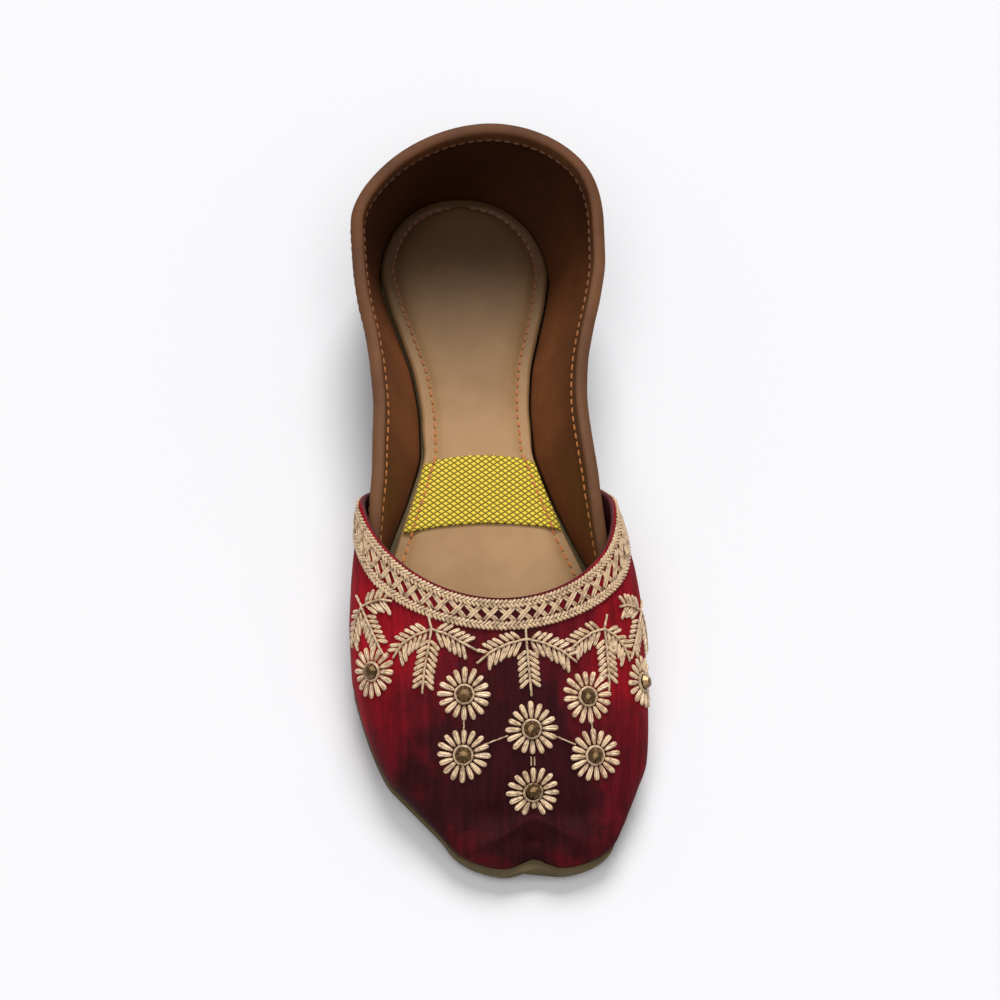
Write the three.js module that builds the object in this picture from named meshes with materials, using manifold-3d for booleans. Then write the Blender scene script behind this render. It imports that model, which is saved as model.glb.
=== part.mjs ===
// A right mojari shoe: a flat slip-on with a silk vamp, a gold collar band and a heart-notched toe.
// Millimetres. X runs across the foot to the inner side, Y from the toe to the heel, Z up from the floor.
import * as THREE from "three";
import { mergeVertices } from "three/addons/utils/BufferGeometryUtils.js";
import Module from "manifold-3d";

// Lengths along the sole, measured from the tip of the toe
const soleLength = 241.5;
const toeTipLength = 13;
const toeReach = 1.3;
const throatFront = 73.1;
const throatCorner = 110;
const vampFoot = 138;
const quarterFront = 87;
const heelStart = 206;
const collarBack = 239.5;
const insoleEndGap = 3.8;

// Widths
const ballWidth = 88;
const waistWidth = 40;
const heelWidth = 61;
const vampWidth = 91;
const collarWidth = 79.6;
const collarWaist = 65.6;
const collarSwing = 7.2;
const toeSwing = 6;
const throatLean = -2;

// Heights above the floor
const throatHeight = 43;
const collarHeight = 36;
const counterHeight = 49;
const toeHeight = 13;
const toeSpring = 3;
const archRise = 1.6;

// Thicknesses, rims and clearances
const soleThickness = 3.5;
const soleEdgeRound = 0.7;
const upperWall = 1.8;
const insoleThickness = 4;
const insoleCrown = 1.2;
const insoleSetback = 5.6;
const insoleFlare = 0.5;
const insoleGap = 0.7;
const insoleSqueeze = 1.8;
const seatGap = 0.3;
const sideRim = 0.5;
const toeRim = 0.4;
const vampStep = 1.5;

// The notch that parts the toe into two lobes
const soleNotch = 2.5;
const upperNotch = 3.6;
const notchWidth = 5.5;
const notchReach = 9;
const toeTrough = 1.6;
const troughBack = 9.8;
const troughBend = 4;
const troughWidth = 4;
const troughReach = 20;

// Trim
const bandWidth = 9.6;
const bandThickness = 1;
const bindingDrop = 4.5;
const bindingThickness = 0.8;
const stripFront = 112.5;
const stripDepth = 24;
const stripBow = 2.5;
const stripThickness = 0.6;
const beadDiameter = 4.8;
const beadHeight = 2.4;

const wasm = await Module();
wasm.setup();

const mix = THREE.MathUtils.lerp;
const clamp = THREE.MathUtils.clamp;
const ease = THREE.MathUtils.smoothstep;
const ballHalf = ballWidth / 2;
const waistHalf = waistWidth / 2;
const heelHalf = heelWidth / 2;

// Half widths of the sole, by share of its length
const soleRows = [
  { at: 0, half: ballHalf },
  { at: 0.25, half: ballHalf },
  { at: 0.295, half: ballHalf * 0.995 },
  { at: 0.351, half: mix(ballHalf, waistHalf, 0.11) },
  { at: 0.413, half: mix(ballHalf, waistHalf, 0.29) },
  { at: 0.475, half: mix(ballHalf, waistHalf, 0.54) },
  { at: 0.537, half: mix(ballHalf, waistHalf, 0.78) },
  { at: 0.599, half: mix(ballHalf, waistHalf, 0.955) },
  { at: 0.637, half: waistHalf },
  { at: 0.702, half: mix(waistHalf, heelHalf, 0.13) },
  { at: 0.764, half: mix(waistHalf, heelHalf, 0.47) },
  { at: 0.826, half: mix(waistHalf, heelHalf, 0.84) },
  { at: 0.876, half: heelHalf },
  { at: 1, half: heelHalf },
];

// Taper of the sole and the vamp towards the toe
const taperRows = [
  { at: 0, taper: 0.55 },
  { at: 0.041, taper: 0.595 },
  { at: 0.057, taper: 0.645 },
  { at: 0.094, taper: 0.772 },
  { at: 0.129, taper: 0.883 },
  { at: 0.187, taper: 0.955 },
  { at: 0.25, taper: 1 },
];

// Middle line of the sole, as a share of the toe's swing to the inner side
const swingRows = [
  { at: 0, swing: 1.2 },
  { at: 0.045, swing: 1.02 },
  { at: 0.087, swing: 0.74 },
  { at: 0.128, swing: 0.45 },
  { at: 0.186, swing: 0.18 },
  { at: 0.256, swing: -0.05 },
  { at: 0.35, swing: -0.1 },
  { at: 0.46, swing: -0.2 },
  { at: 0.53, swing: -0.13 },
  { at: 0.6, swing: -0.05 },
  { at: 0.88, swing: 0.06 },
  { at: 1, swing: 0.08 },
];

// Underside of the sole above the floor, flat under the forefoot and the heel
const soleRiseRows = [
  { at: 0, rise: toeSpring },
  { at: 0.07, rise: toeSpring * 0.5 },
  { at: 0.15, rise: toeSpring * 0.08 },
  { at: 0.2, rise: 0 },
  { at: 0.36, rise: 0 },
  { at: 0.46, rise: archRise * 0.5 },
  { at: 0.58, rise: archRise },
  { at: 0.68, rise: archRise * 0.4 },
  { at: 0.76, rise: 0 },
  { at: 0.95, rise: 0 },
  { at: 1, rise: 0 },
];

// Sections of the vamp: widest half width, the height of that widest point, the crest,
// and how far the top leans to the inner side
const vampRows = [
  { at: 0, side: 1, sideHeight: 0.22, crest: toeHeight / throatHeight, lean: 0 },
  { at: 0.045, side: 1, sideHeight: 0.26, crest: 0.385, lean: 0 },
  { at: 0.087, side: 1, sideHeight: 0.29, crest: 0.49, lean: 0 },
  { at: 0.165, side: 1, sideHeight: 0.34, crest: 0.71, lean: 0 },
  { at: 0.25, side: 1, sideHeight: 0.4, crest: 0.895, lean: 0 },
  { at: 0.31, side: 1, sideHeight: 0.49, crest: 1, lean: 0 },
  { at: 0.364, side: 0.974, sideHeight: 0.65, crest: 1.08, lean: 0.12 },
  { at: 0.413, side: 0.92, sideHeight: 0.82, crest: 1.13, lean: 0.45 },
  { at: 0.463, side: 0.86, sideHeight: 0.97, crest: 1.18, lean: 0.82 },
  { at: 0.517, side: 0.805, sideHeight: 1.02, crest: 1.21, lean: 1 },
  { at: 0.6, side: 0.775, sideHeight: 1.03, crest: 1.23, lean: 0.75 },
];

// Top edge of the quarters: half width, height, and the middle's shift as a share of the swing
// to the inner side at the heel
const collarHalf = collarWidth / 2;
const waistReach = collarWaist / 2;
const rising = (t) => mix(collarHeight, counterHeight, t);
const widening = (t) => mix(waistReach, collarHalf, t);
const quarterRows = [
  { at: 0.355, half: waistReach * 1.132, height: collarHeight * 0.6, shift: -0.275 },
  { at: 0.388, half: waistReach * 1.123, height: collarHeight * 0.76, shift: -0.336 },
  { at: 0.426, half: waistReach * 1.094, height: collarHeight * 0.89, shift: -0.39 },
  { at: 0.463, half: waistReach * 1.066, height: collarHeight * 0.975, shift: -0.39 },
  { at: 0.5, half: waistReach * 1.043, height: collarHeight, shift: -0.336 },
  { at: 0.55, half: waistReach * 1.019, height: collarHeight, shift: -0.32 },
  { at: 0.6, half: waistReach, height: rising(0.02), shift: -0.275 },
  { at: 0.65, half: widening(0.1), height: rising(0.09), shift: -0.22 },
  { at: 0.7, half: widening(0.37), height: rising(0.2), shift: -0.11 },
  { at: 0.75, half: widening(0.75), height: rising(0.33), shift: -0.01 },
  { at: 0.8, half: widening(0.97), height: rising(0.46), shift: 0.09 },
  { at: 0.855, half: collarHalf, height: rising(0.63), shift: 0.125 },
  { at: 0.94, half: collarHalf, height: rising(0.9), shift: 0.64 },
  { at: 1, half: collarHalf, height: counterHeight, shift: 1 },
];

// A column of a table at any share of the length, through its rows without overshoot
function read(rows, column, at) {
  const last = rows.length - 1;
  if (at <= rows[0].at) return rows[0][column];
  if (at >= rows[last].at) return rows[last][column];
  let i = 0;
  while (rows[i + 1].at < at) i += 1;
  const slope = (k) => (rows[k + 1][column] - rows[k][column]) / (rows[k + 1].at - rows[k].at);
  const tangent = (k) => {
    if (k === 0) return slope(0);
    if (k === last) return slope(last - 1);
    const before = slope(k - 1);
    const after = slope(k);
    return before * after <= 0 ? 0 : (2 * before * after) / (before + after);
  };
  const step = rows[i + 1].at - rows[i].at;
  const t = (at - rows[i].at) / step;
  const rise = rows[i + 1][column] - rows[i][column];
  const startPull = tangent(i) * step;
  const endPull = tangent(i + 1) * step;
  return (
    rows[i][column] +
    startPull * t +
    (3 * rise - 2 * startPull - endPull) * t * t +
    (startPull + endPull - 2 * rise) * t * t * t
  );
}

const share = (y) => y / soleLength;
const middle = (y) => toeSwing * read(swingRows, "swing", share(y));
const soleUnder = (y) => read(soleRiseRows, "rise", share(y));
const seatHeight = (y) => soleUnder(y) + soleThickness + seatGap;

// Quarter of a superellipse: 0 at the tip, 1 after the run
const roundEnd = (run, length, power) =>
  run >= length ? 1 : Math.pow(1 - Math.pow(1 - clamp(run / length, 0, 1), power), 1 / power);
const toePower = 2.4;
const heelPower = 2.15;
const collarPower = 1.88;
const toeCapLength = 14;
const capPower = 2.3;

// Half width of the sole, rounded off at the toe and the heel
function soleHalf(y, inset = 0, toeInset = inset) {
  const half = read(soleRows, "half", share(y)) * read(taperRows, "taper", share(y)) - inset;
  const toe = roundEnd(y - toeInset, toeTipLength, toePower);
  const heel = roundEnd(soleLength - inset - y, soleLength - inset - heelStart, heelPower);
  return half * toe * heel;
}

// Moves a point back where the toe is notched, most at the middle of the notch
function notched(point, depth) {
  const across = (point.x - toeSwing) / notchWidth;
  const along = point.y / notchReach;
  point.y += depth * Math.exp(-across * across) * Math.exp(-along * along);
  return point;
}

// The outer face of the vamp. across runs from 0 at the left feather edge to 1 at the right one.
const archShare = 0.6;
const archPower = 2.25;
function vampBase(across, y) {
  const s = Math.abs(2 * across - 1);
  const sign = across < 0.5 ? -1 : 1;
  const toe = read(taperRows, "taper", share(y)) * roundEnd(y - toeRim, toeTipLength, toePower);
  const cap = roundEnd(y - toeRim, toeCapLength, capPower);
  const floor = seatHeight(y);
  const foot = soleHalf(y, sideRim, toeRim);
  const side = Math.max((vampWidth / 2) * read(vampRows, "side", share(y)) * toe, foot);
  const sideHeight = mix(floor, collarHeight * read(vampRows, "sideHeight", share(y)), cap);
  const crest = mix(floor, throatHeight * read(vampRows, "crest", share(y)), cap);
  const lean = throatLean * read(vampRows, "lean", share(y));
  const point = new THREE.Vector3(middle(y), y, 0);
  if (s > archShare) {
    const t = (1 - s) / (1 - archShare);
    const bow = Math.sin((t * Math.PI) / 2);
    point.x += sign * mix(foot, side, bow) + lean * bow;
    point.z = mix(floor, sideHeight, t);
  } else {
    const angle = ((s / archShare) * Math.PI) / 2;
    point.x += sign * side * Math.pow(Math.sin(angle), 2 / archPower) + lean;
    point.z = mix(sideHeight, crest, Math.pow(Math.max(Math.cos(angle), 0), 2 / archPower));
    // A soft trough lies behind the lobes and bends back round the notch
    const off = point.x - toeSwing;
    const troughLine = toeRim + troughBack + troughBend * Math.exp(-((off / notchWidth) ** 2));
    const fall = Math.exp(-(((y - troughLine) / troughWidth) ** 2)) * Math.exp(-((off / troughReach) ** 4));
    point.z -= toeTrough * fall * Math.cos(angle);
  }
  return notched(point, upperNotch);
}

// The same face moved out along its normal, or in where the distance is negative
function vampFace(across, y, distance) {
  const point = vampBase(across, y);
  if (distance === 0) return point;
  const stepAcross = 0.004;
  const stepAlong = 0.25;
  const a0 = clamp(across - stepAcross, 0, 1);
  const a1 = clamp(across + stepAcross, 0, 1);
  const alongX = vampBase(a1, y).sub(vampBase(a0, y));
  const y0 = Math.max(y - stepAlong, toeRim + 0.01);
  const alongY = vampBase(across, y + stepAlong).sub(vampBase(across, y0));
  const normal = alongX.cross(alongY).normalize();
  if (across === 0 || across === 1) normal.setZ(0).normalize();
  return point.addScaledVector(normal, distance);
}

// Where the throat lies on a line of constant share across: a rounded front, then a slant down each side.
// forward moves the line towards the toe, for the front edge of the collar band. The surface falls
// towards the toe at the front, and the line slants at the sides, so the move along Y differs.
const frontRun = 0.88;
const sideRun = 1.36;
const searchMargin = 5;
const halvings = 40;
function throatAt(across, forward) {
  const frontMove = forward * frontRun;
  const sideMove = forward * sideRun;
  const slant = (vampFoot - throatCorner) / (collarHeight - soleThickness);
  const edgeOf = (y) => {
    const point = vampBase(across, y);
    const corner = throatCorner - sideMove + slant * Math.max(collarHeight - point.z, 0);
    const front = throatFront - frontMove;
    const reach = throatCorner - sideMove - front;
    const wide = sideReach(corner, point.z);
    const lean = throatLean * read(vampRows, "lean", share(y));
    const inside = 1 - Math.min(Math.abs(point.x - middle(y) - lean) / wide, 1) ** 2;
    return corner - reach * Math.sqrt(inside);
  };
  let low = throatFront - 2 * forward - searchMargin;
  let high = vampFoot + searchMargin;
  for (let i = 0; i < halvings; i += 1) {
    const y = (low + high) / 2;
    if (edgeOf(y) > y) low = y;
    else high = y;
  }
  return (low + high) / 2;
}

// Half width of the vamp's side wall at a height
function sideReach(y, z) {
  const floor = seatHeight(y);
  const foot = soleHalf(y, sideRim, toeRim);
  const side = (vampWidth / 2) * read(vampRows, "side", share(y));
  const top = collarHeight * read(vampRows, "sideHeight", share(y));
  return mix(foot, side, Math.sin((clamp((z - floor) / (top - floor), 0, 1) * Math.PI) / 2));
}

// How far the quarters step in at the sole, so that they pass behind the vamp
const stepRun = 15;
const stepAt = (y) => vampStep * (1 - ease(y, vampFoot, vampFoot + stepRun));

// The outer face of the quarters. round runs from 0 at the left front to 1 at the right front,
// up from 0 at the sole to 1 at the top edge.
const sideShare = 0.36;
function quarterBase(round, up) {
  const base = new THREE.Vector3();
  const top = new THREE.Vector3();
  const onHeel = round > sideShare && round < 1 - sideShare;
  if (onHeel) {
    const angle = (Math.PI * (round - sideShare)) / (1 - 2 * sideShare);
    const out = (power) => Math.sign(-Math.cos(angle)) * Math.pow(Math.abs(Math.cos(angle)), 2 / power);
    const back = (power) => Math.pow(Math.sin(angle), 2 / power);
    base.y = mix(heelStart, soleLength - sideRim, back(heelPower));
    base.x = middle(base.y) + out(heelPower) * soleHalf(heelStart, sideRim);
    top.y = mix(heelStart, collarBack, back(collarPower));
    top.x = collarSwing * read(quarterRows, "shift", share(top.y)) + out(collarPower) * collarHalf;
  } else {
    const sign = round < 0.5 ? -1 : 1;
    const run = (sign < 0 ? round : 1 - round) / sideShare;
    const y = mix(quarterFront, heelStart, run);
    base.y = y;
    base.x = middle(y) + sign * (soleHalf(y, sideRim) - stepAt(y));
    top.y = y;
    top.x = collarSwing * read(quarterRows, "shift", share(y)) + sign * read(quarterRows, "half", share(y));
  }
  base.z = seatHeight(base.y);
  top.z = read(quarterRows, "height", share(top.y));
  const bow = mix(up, Math.sin((up * Math.PI) / 2), 0.5);
  const height = mix(base.z, top.z, up);
  return base.lerp(top, bow).setZ(height);
}

function quarterFace(round, up, distance) {
  const point = quarterBase(round, up);
  if (distance === 0) return point;
  const step = 0.002;
  const alongRound = quarterBase(Math.min(round + step, 1), up);
  alongRound.sub(quarterBase(Math.max(round - step, 0), up));
  const alongUp = quarterBase(round, Math.min(up + step, 1));
  alongUp.sub(quarterBase(round, Math.max(up - step, 0)));
  const normal = alongUp.cross(alongRound).normalize();
  if (up === 0) normal.setZ(0).normalize();
  return point.addScaledVector(normal, distance);
}

// A geometry from points and faces
function geometryOf(points, faces) {
  const geometry = new THREE.BufferGeometry();
  const numbers = points.flatMap((p) => [p.x, p.y, p.z]);
  geometry.setAttribute("position", new THREE.Float32BufferAttribute(numbers, 3));
  geometry.setIndex(faces);
  return geometry;
}

// A solid lofted through closed rings of points, capped at both ends
function loft(rings) {
  const count = rings[0].length;
  const points = rings.flat();
  const faces = [];
  for (let j = 0; j < rings.length - 1; j += 1) {
    for (let i = 0; i < count; i += 1) {
      const a = j * count + i;
      const b = j * count + ((i + 1) % count);
      faces.push(a, a + count, b, b, a + count, b + count);
    }
  }
  const middleOf = (ring) => ring.reduce((sum, p) => sum.add(p), new THREE.Vector3()).divideScalar(count);
  points.push(middleOf(rings[0]), middleOf(rings.at(-1)));
  const start = points.length - 2;
  const lastRing = (rings.length - 1) * count;
  for (let i = 0; i < count; i += 1) {
    const next = (i + 1) % count;
    faces.push(start, i, next);
    faces.push(start + 1, lastRing + next, lastRing + i);
  }
  return geometryOf(points, faces);
}

// A closed sheet between two grids of the same size, whose rows run the same way
function sheet(outer, inner, faceFront) {
  const columns = outer[0].length;
  const rows = outer.length;
  const points = [...outer.flat(), ...inner.flat()];
  const under = rows * columns;
  const faces = [];
  const quad = (a, b, c, d) => faces.push(a, b, c, a, c, d);
  for (let j = 0; j < rows - 1; j += 1) {
    for (let i = 0; i < columns - 1; i += 1) {
      const a = j * columns + i;
      quad(a, a + 1, a + columns + 1, a + columns);
      quad(under + a, under + a + columns, under + a + columns + 1, under + a + 1);
    }
    const left = j * columns;
    const right = left + columns - 1;
    quad(left, left + columns, under + left + columns, under + left);
    quad(right + columns, right, under + right, under + right + columns);
  }
  const last = (rows - 1) * columns;
  for (let i = 0; i < columns - 1; i += 1) {
    quad(last + i, last + i + 1, under + last + i + 1, under + last + i);
    if (!faceFront) quad(i + 1, i, under + i, under + i + 1);
  }
  if (faceFront) {
    for (let i = 1; i < columns - 1; i += 1) {
      faces.push(0, i + 1, i);
      faces.push(under, under + i, under + i + 1);
    }
    quad(0, under, under + columns - 1, columns - 1);
  }
  return geometryOf(points, faces);
}

// Solids for joins and cuts
function solidOf(geometry) {
  const bare = geometry.clone();
  bare.deleteAttribute("normal");
  bare.deleteAttribute("uv");
  const merged = mergeVertices(bare, 1e-4);
  return new wasm.Manifold(
    new wasm.Mesh({
      numProp: 3,
      vertProperties: new Float32Array(merged.attributes.position.array),
      triVerts: new Uint32Array(merged.index.array),
    }),
  );
}

function geometryFrom(solid) {
  const mesh = solid.getMesh();
  const geometry = new THREE.BufferGeometry();
  geometry.setAttribute("position", new THREE.BufferAttribute(mesh.vertProperties, 3));
  geometry.setIndex(new THREE.BufferAttribute(mesh.triVerts, 1));
  return geometry;
}

const leather = (color, roughness) => new THREE.MeshStandardMaterial({ color, roughness, metalness: 0 });
const silk = new THREE.MeshStandardMaterial({ color: 0x5a141c, roughness: 0.55, metalness: 0 });
const gold = new THREE.MeshStandardMaterial({ color: 0xc9a878, roughness: 0.45, metalness: 0.4 });
const bronze = new THREE.MeshStandardMaterial({ color: 0x6a5638, roughness: 0.25, metalness: 0.6 });
const weave = new THREE.MeshStandardMaterial({ color: 0xd9b44a, roughness: 0.8, metalness: 0 });

function named(name, geometry, material) {
  const mesh = new THREE.Mesh(geometry, material);
  mesh.name = name;
  return mesh;
}

const series = (count, make) => Array.from({ length: count + 1 }, (_, i) => make(i / count));

// Stations along the sole, closer together at both round ends
const stationCount = 64;
const endCrowding = 0.85;
const soleStations = series(stationCount, (t) => mix(t, (1 - Math.cos(Math.PI * t)) / 2, endCrowding));

function outsole() {
  const rings = soleStations.slice(1, -1).map((t) => {
    const y = mix(-toeReach, soleLength, t);
    const half = soleHalf(y, 0, -toeReach);
    const under = soleUnder(y);
    const round = Math.min(soleEdgeRound, half / 2);
    const ring = [
      [round - half, 0],
      [half - round, 0],
      [half, soleEdgeRound],
      [half, soleThickness - soleEdgeRound / 2],
      [half - round / 2, soleThickness],
      [0, soleThickness],
      [round / 2 - half, soleThickness],
      [-half, soleThickness - soleEdgeRound / 2],
      [-half, soleEdgeRound],
    ];
    return ring.map(([x, z]) => notched(new THREE.Vector3(middle(y) + x, y, under + z), soleNotch));
  });
  return loft(rings);
}

// The top of the sock: a padded crown that falls to a thin stitched edge.
// The edge is cut clear of the upper's inner face, and squeezed where the quarters lean in.
const insoleFront = toeRim + upperWall + insoleSetback;
const insoleBack = soleLength - insoleEndGap;
const crownRows = [
  { at: 0, crown: 1 },
  { at: 0.72, crown: 0.75 },
  { at: 0.97, crown: 0 },
];
const squeezeRows = [
  { at: 0.32, squeeze: 0 },
  { at: 0.36, squeeze: 1 },
  { at: 0.42, squeeze: 1 },
  { at: 0.52, squeeze: 0.3 },
  { at: 0.6, squeeze: 0 },
];
const crownParts = [0.97, 0.72, 0.36, 0, -0.36, -0.72, -0.97];
const edgeShare = 0.75;

function insoleHalf(y) {
  const squeeze = insoleSqueeze * read(squeezeRows, "squeeze", share(y));
  const inset = sideRim + upperWall + insoleGap + stepAt(y) + squeeze;
  const half = read(soleRows, "half", share(y)) * read(taperRows, "taper", share(y)) - inset;
  const toe = roundEnd(y - insoleFront, toeTipLength, toePower);
  return half * toe * roundEnd(insoleBack - y, insoleBack - heelStart, heelPower);
}

function insoleTop(off, y) {
  const half = insoleHalf(y);
  const crown = insoleCrown * Math.min(half / waistHalf, 1) * read(crownRows, "crown", Math.abs(off) / half);
  return seatHeight(y) + insoleThickness + crown;
}

function insole() {
  const rings = soleStations.slice(1, -1).map((t) => {
    const y = mix(insoleFront, insoleBack, t);
    const half = insoleHalf(y);
    const floor = seatHeight(y);
    const open = ease(y, vampFoot, vampFoot + stepRun);
    const flare = Math.min(half / insoleThickness, insoleFlare) * open;
    const edgeHeight = floor + insoleThickness * edgeShare;
    const tops = crownParts.map((part) => [half * part, insoleTop(half * part, y)]);
    const rightSide = [[half, floor], [half + flare, edgeHeight]];
    const ring = [[-half, floor], ...rightSide, ...tops, [-half - flare, edgeHeight]];
    return ring.map(([x, z]) => notched(new THREE.Vector3(middle(y) + x, y, z), upperNotch));
  });
  return loft(rings);
}

// The woven strip across the sock, following its crown
function insoleStrip() {
  const fractions = crownParts.map((part) => -part);
  const stripSteps = 8;
  const grid = (lift) =>
    series(stripSteps, (t) =>
      fractions.map((part) => {
        const y = stripFront + stripDepth * t + stripBow * (1 - part * part);
        const off = part * insoleHalf(y);
        return new THREE.Vector3(middle(y) + off, y, insoleTop(off, y) + lift);
      }),
    );
  return sheet(grid(seatGap + stripThickness), grid(seatGap), false);
}

function upper() {
  const acrossSteps = 38;
  const alongSteps = 28;
  const toeCrowding = 0.8;
  const roundSteps = 46;
  const upSteps = 7;
  const throat = series(acrossSteps, (a) => throatAt(a, 0));
  const tip = toeRim + soleEdgeRound / 20;
  const grid = (distance) =>
    series(alongSteps, (v) =>
      series(acrossSteps, (a) => {
        const end = throat[Math.round(a * acrossSteps)];
        return vampFace(a, mix(tip, end, mix(v, v * v, toeCrowding)), distance);
      }),
    );
  const vamp = solidOf(sheet(grid(0), grid(-upperWall), true));
  const quarterGrid = (distance) =>
    series(upSteps, (up) => series(roundSteps, (t) => quarterFace(1 - t, up, distance)));
  const quarters = solidOf(sheet(quarterGrid(0), quarterGrid(-upperWall), false));
  return geometryFrom(vamp.add(quarters));
}

// Brown leather folded over the top edge of the quarters: a U whose legs stand clear of the wall
function toplineBinding() {
  const steps = 46;
  const outside = seatGap + bindingThickness;
  const rings = series(steps, (round) => {
    const top = quarterBase(round, 1);
    const height = top.z - seatHeight(top.y);
    const foot = 1 - bindingDrop / height;
    const at = (up, distance, lift) => quarterFace(round, up, distance).add(new THREE.Vector3(0, 0, lift));
    const skin = [
      at(foot, outside, 0),
      at(1, outside, 0),
      at(1, seatGap, outside),
      at(1, -upperWall - seatGap, outside),
      at(1, -upperWall - outside, 0),
      at(foot, -upperWall - outside, 0),
    ];
    const lining = [
      at(foot, seatGap, 0),
      at(1, seatGap, 0),
      at(1, seatGap, seatGap),
      at(1, -upperWall - seatGap, seatGap),
      at(1, -upperWall - seatGap, 0),
      at(foot, -upperWall - seatGap, 0),
    ];
    return [skin, lining];
  });
  return sheet(rings.map(([skin]) => skin), rings.map(([, lining]) => lining), false);
}

// The collar band: a braid that lies on the vamp along its edge, from sole to sole
function vampBand() {
  const stepsAcross = 56;
  const stepsWide = 3;
  const endClear = 0.012;
  const span = (a) => mix(endClear, 1 - endClear, a);
  const edges = series(stepsAcross, (a) => [throatAt(span(a), bandWidth), throatAt(span(a), 0) - seatGap]);
  const grid = (distance) =>
    series(stepsWide, (v) =>
      series(stepsAcross, (a) => {
        const [front, back] = edges[Math.round(a * stepsAcross)];
        return vampFace(span(a), mix(front, back, v), distance);
      }),
    );
  return sheet(grid(seatGap + bandThickness), grid(seatGap), false);
}

// Beads at the hearts of the flowers, along from the toe and off to the sides in shares of the sizes
const beadRows = [
  { along: 0.084, off: 0.067 },
  { along: 0.127, off: -0.163 },
  { along: 0.123, off: 0.277 },
  { along: 0.152, off: 0.065 },
  { along: 0.195, off: -0.154 },
  { along: 0.19, off: 0.259 },
  { along: 0.241, off: -0.447 },
  { along: 0.222, off: 0.466 },
];

function bead(along, off) {
  const y = along * soleLength;
  const x = off * vampWidth;
  let low = 0;
  let high = 1;
  for (let i = 0; i < halvings; i += 1) {
    const half = (low + high) / 2;
    if (vampBase(half, y).x < x) low = half;
    else high = half;
  }
  const seat = vampFace(low, y, seatGap);
  const out = vampFace(low, y, seatGap + 1).sub(seat).normalize();
  const radius = beadDiameter / 2;
  const profile = [
    new THREE.Vector2(0, 0),
    new THREE.Vector2(radius * 0.85, 0),
    new THREE.Vector2(radius, beadHeight * 0.3),
    new THREE.Vector2(radius * 0.62, beadHeight * 0.85),
    new THREE.Vector2(0, beadHeight),
  ];
  const facets = 8;
  const dome = new THREE.LatheGeometry(profile, facets);
  dome.rotateX(Math.PI / 2);
  const mesh = new THREE.Mesh(dome, bronze);
  mesh.quaternion.setFromUnitVectors(new THREE.Vector3(0, 0, 1), out);
  mesh.position.copy(seat);
  return mesh;
}

const group = new THREE.Group();
group.add(named("outsole", outsole(), leather(0x8a7a5c, 0.7)));
group.add(named("upper", upper(), silk));
group.add(named("insole", insole(), leather(0xc9a27c, 0.65)));
group.add(named("topline_binding", toplineBinding(), leather(0x7a4a30, 0.6)));
group.add(named("vamp_band", vampBand(), gold));
group.add(named("insole_strip", insoleStrip(), weave));
beadRows.forEach(({ along, off }, i) => {
  const mesh = bead(along, off);
  mesh.name = `bead_${i + 1}`;
  group.add(mesh);
});

group.updateMatrixWorld(true);
const reach = new THREE.Box3().setFromObject(group);
group.position.set(-(reach.min.x + reach.max.x) / 2, -(reach.min.y + reach.max.y) / 2, -reach.min.z);

export default group;
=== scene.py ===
import math

import bpy
import numpy as np
from mathutils import Matrix, Vector


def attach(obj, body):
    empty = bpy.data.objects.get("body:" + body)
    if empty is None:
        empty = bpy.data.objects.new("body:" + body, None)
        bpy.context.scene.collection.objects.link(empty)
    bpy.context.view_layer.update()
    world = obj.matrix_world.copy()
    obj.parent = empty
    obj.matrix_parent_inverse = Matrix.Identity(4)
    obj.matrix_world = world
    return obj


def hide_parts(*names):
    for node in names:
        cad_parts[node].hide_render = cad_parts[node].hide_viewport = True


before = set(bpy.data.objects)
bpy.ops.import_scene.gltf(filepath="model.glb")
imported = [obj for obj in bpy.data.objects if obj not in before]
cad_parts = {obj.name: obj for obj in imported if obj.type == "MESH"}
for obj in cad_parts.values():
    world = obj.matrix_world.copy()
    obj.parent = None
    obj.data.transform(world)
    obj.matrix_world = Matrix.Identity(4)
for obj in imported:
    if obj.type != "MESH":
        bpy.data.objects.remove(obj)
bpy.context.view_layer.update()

# Lengths along the sole from the toe, widths, heights and thicknesses
soleLength, toeTipLength, toeReach, throatFront, throatCorner, vampFoot = 241.5, 13, 1.8, 73.1, 110, 138
quarterFront, heelStart, collarBack, insoleEndGap = 87, 206, 239.5, 3.8
ballWidth, waistWidth, heelWidth, vampWidth, collarWidth, collarWaist = 88, 40, 61, 91, 79.6, 65.6
collarSwing, toeSwing, throatLean = 7.2, 6, -2
throatHeight, collarHeight, counterHeight, toeHeight, toeSpring, archRise = 43, 36, 49, 13, 3, 1.6
soleThickness, upperWall, insoleThickness, insoleCrown, insoleSetback = 3.5, 1.8, 4, 1.2, 5.6
insoleFlare, insoleGap, insoleSqueeze = 0.5, 0.7, 1.8
seatGap, sideRim, toeRim, vampStep, stepRun = 0.3, 0.5, -0.3, 1.5, 15
soleNotch, upperNotch, notchWidth, notchReach = 2.5, 3.6, 5.5, 9
toeTrough, troughBack, troughBend, troughWidth, troughReach = 1.6, 9.8, 4, 4, 20
bandWidth, bindingDrop, bindingThickness = 9.6, 4.5, 0.8
stripFront, stripDepth, stripBow, stripThickness = 112.5, 24, 2.5, 0.6
toePower, heelPower, collarPower, toeCapLength, capPower = 2.4, 2.15, 1.88, 14, 2.3
archShare, archPower, sideShare = 0.6, 2.25, 0.36
frameShift = np.array([-0.0981, -120.2147, 0])


def mix(a, b, t):
    return a + (b - a) * t


def place(points):
    return (np.asarray(points, float) + frameShift) * 0.001


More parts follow.
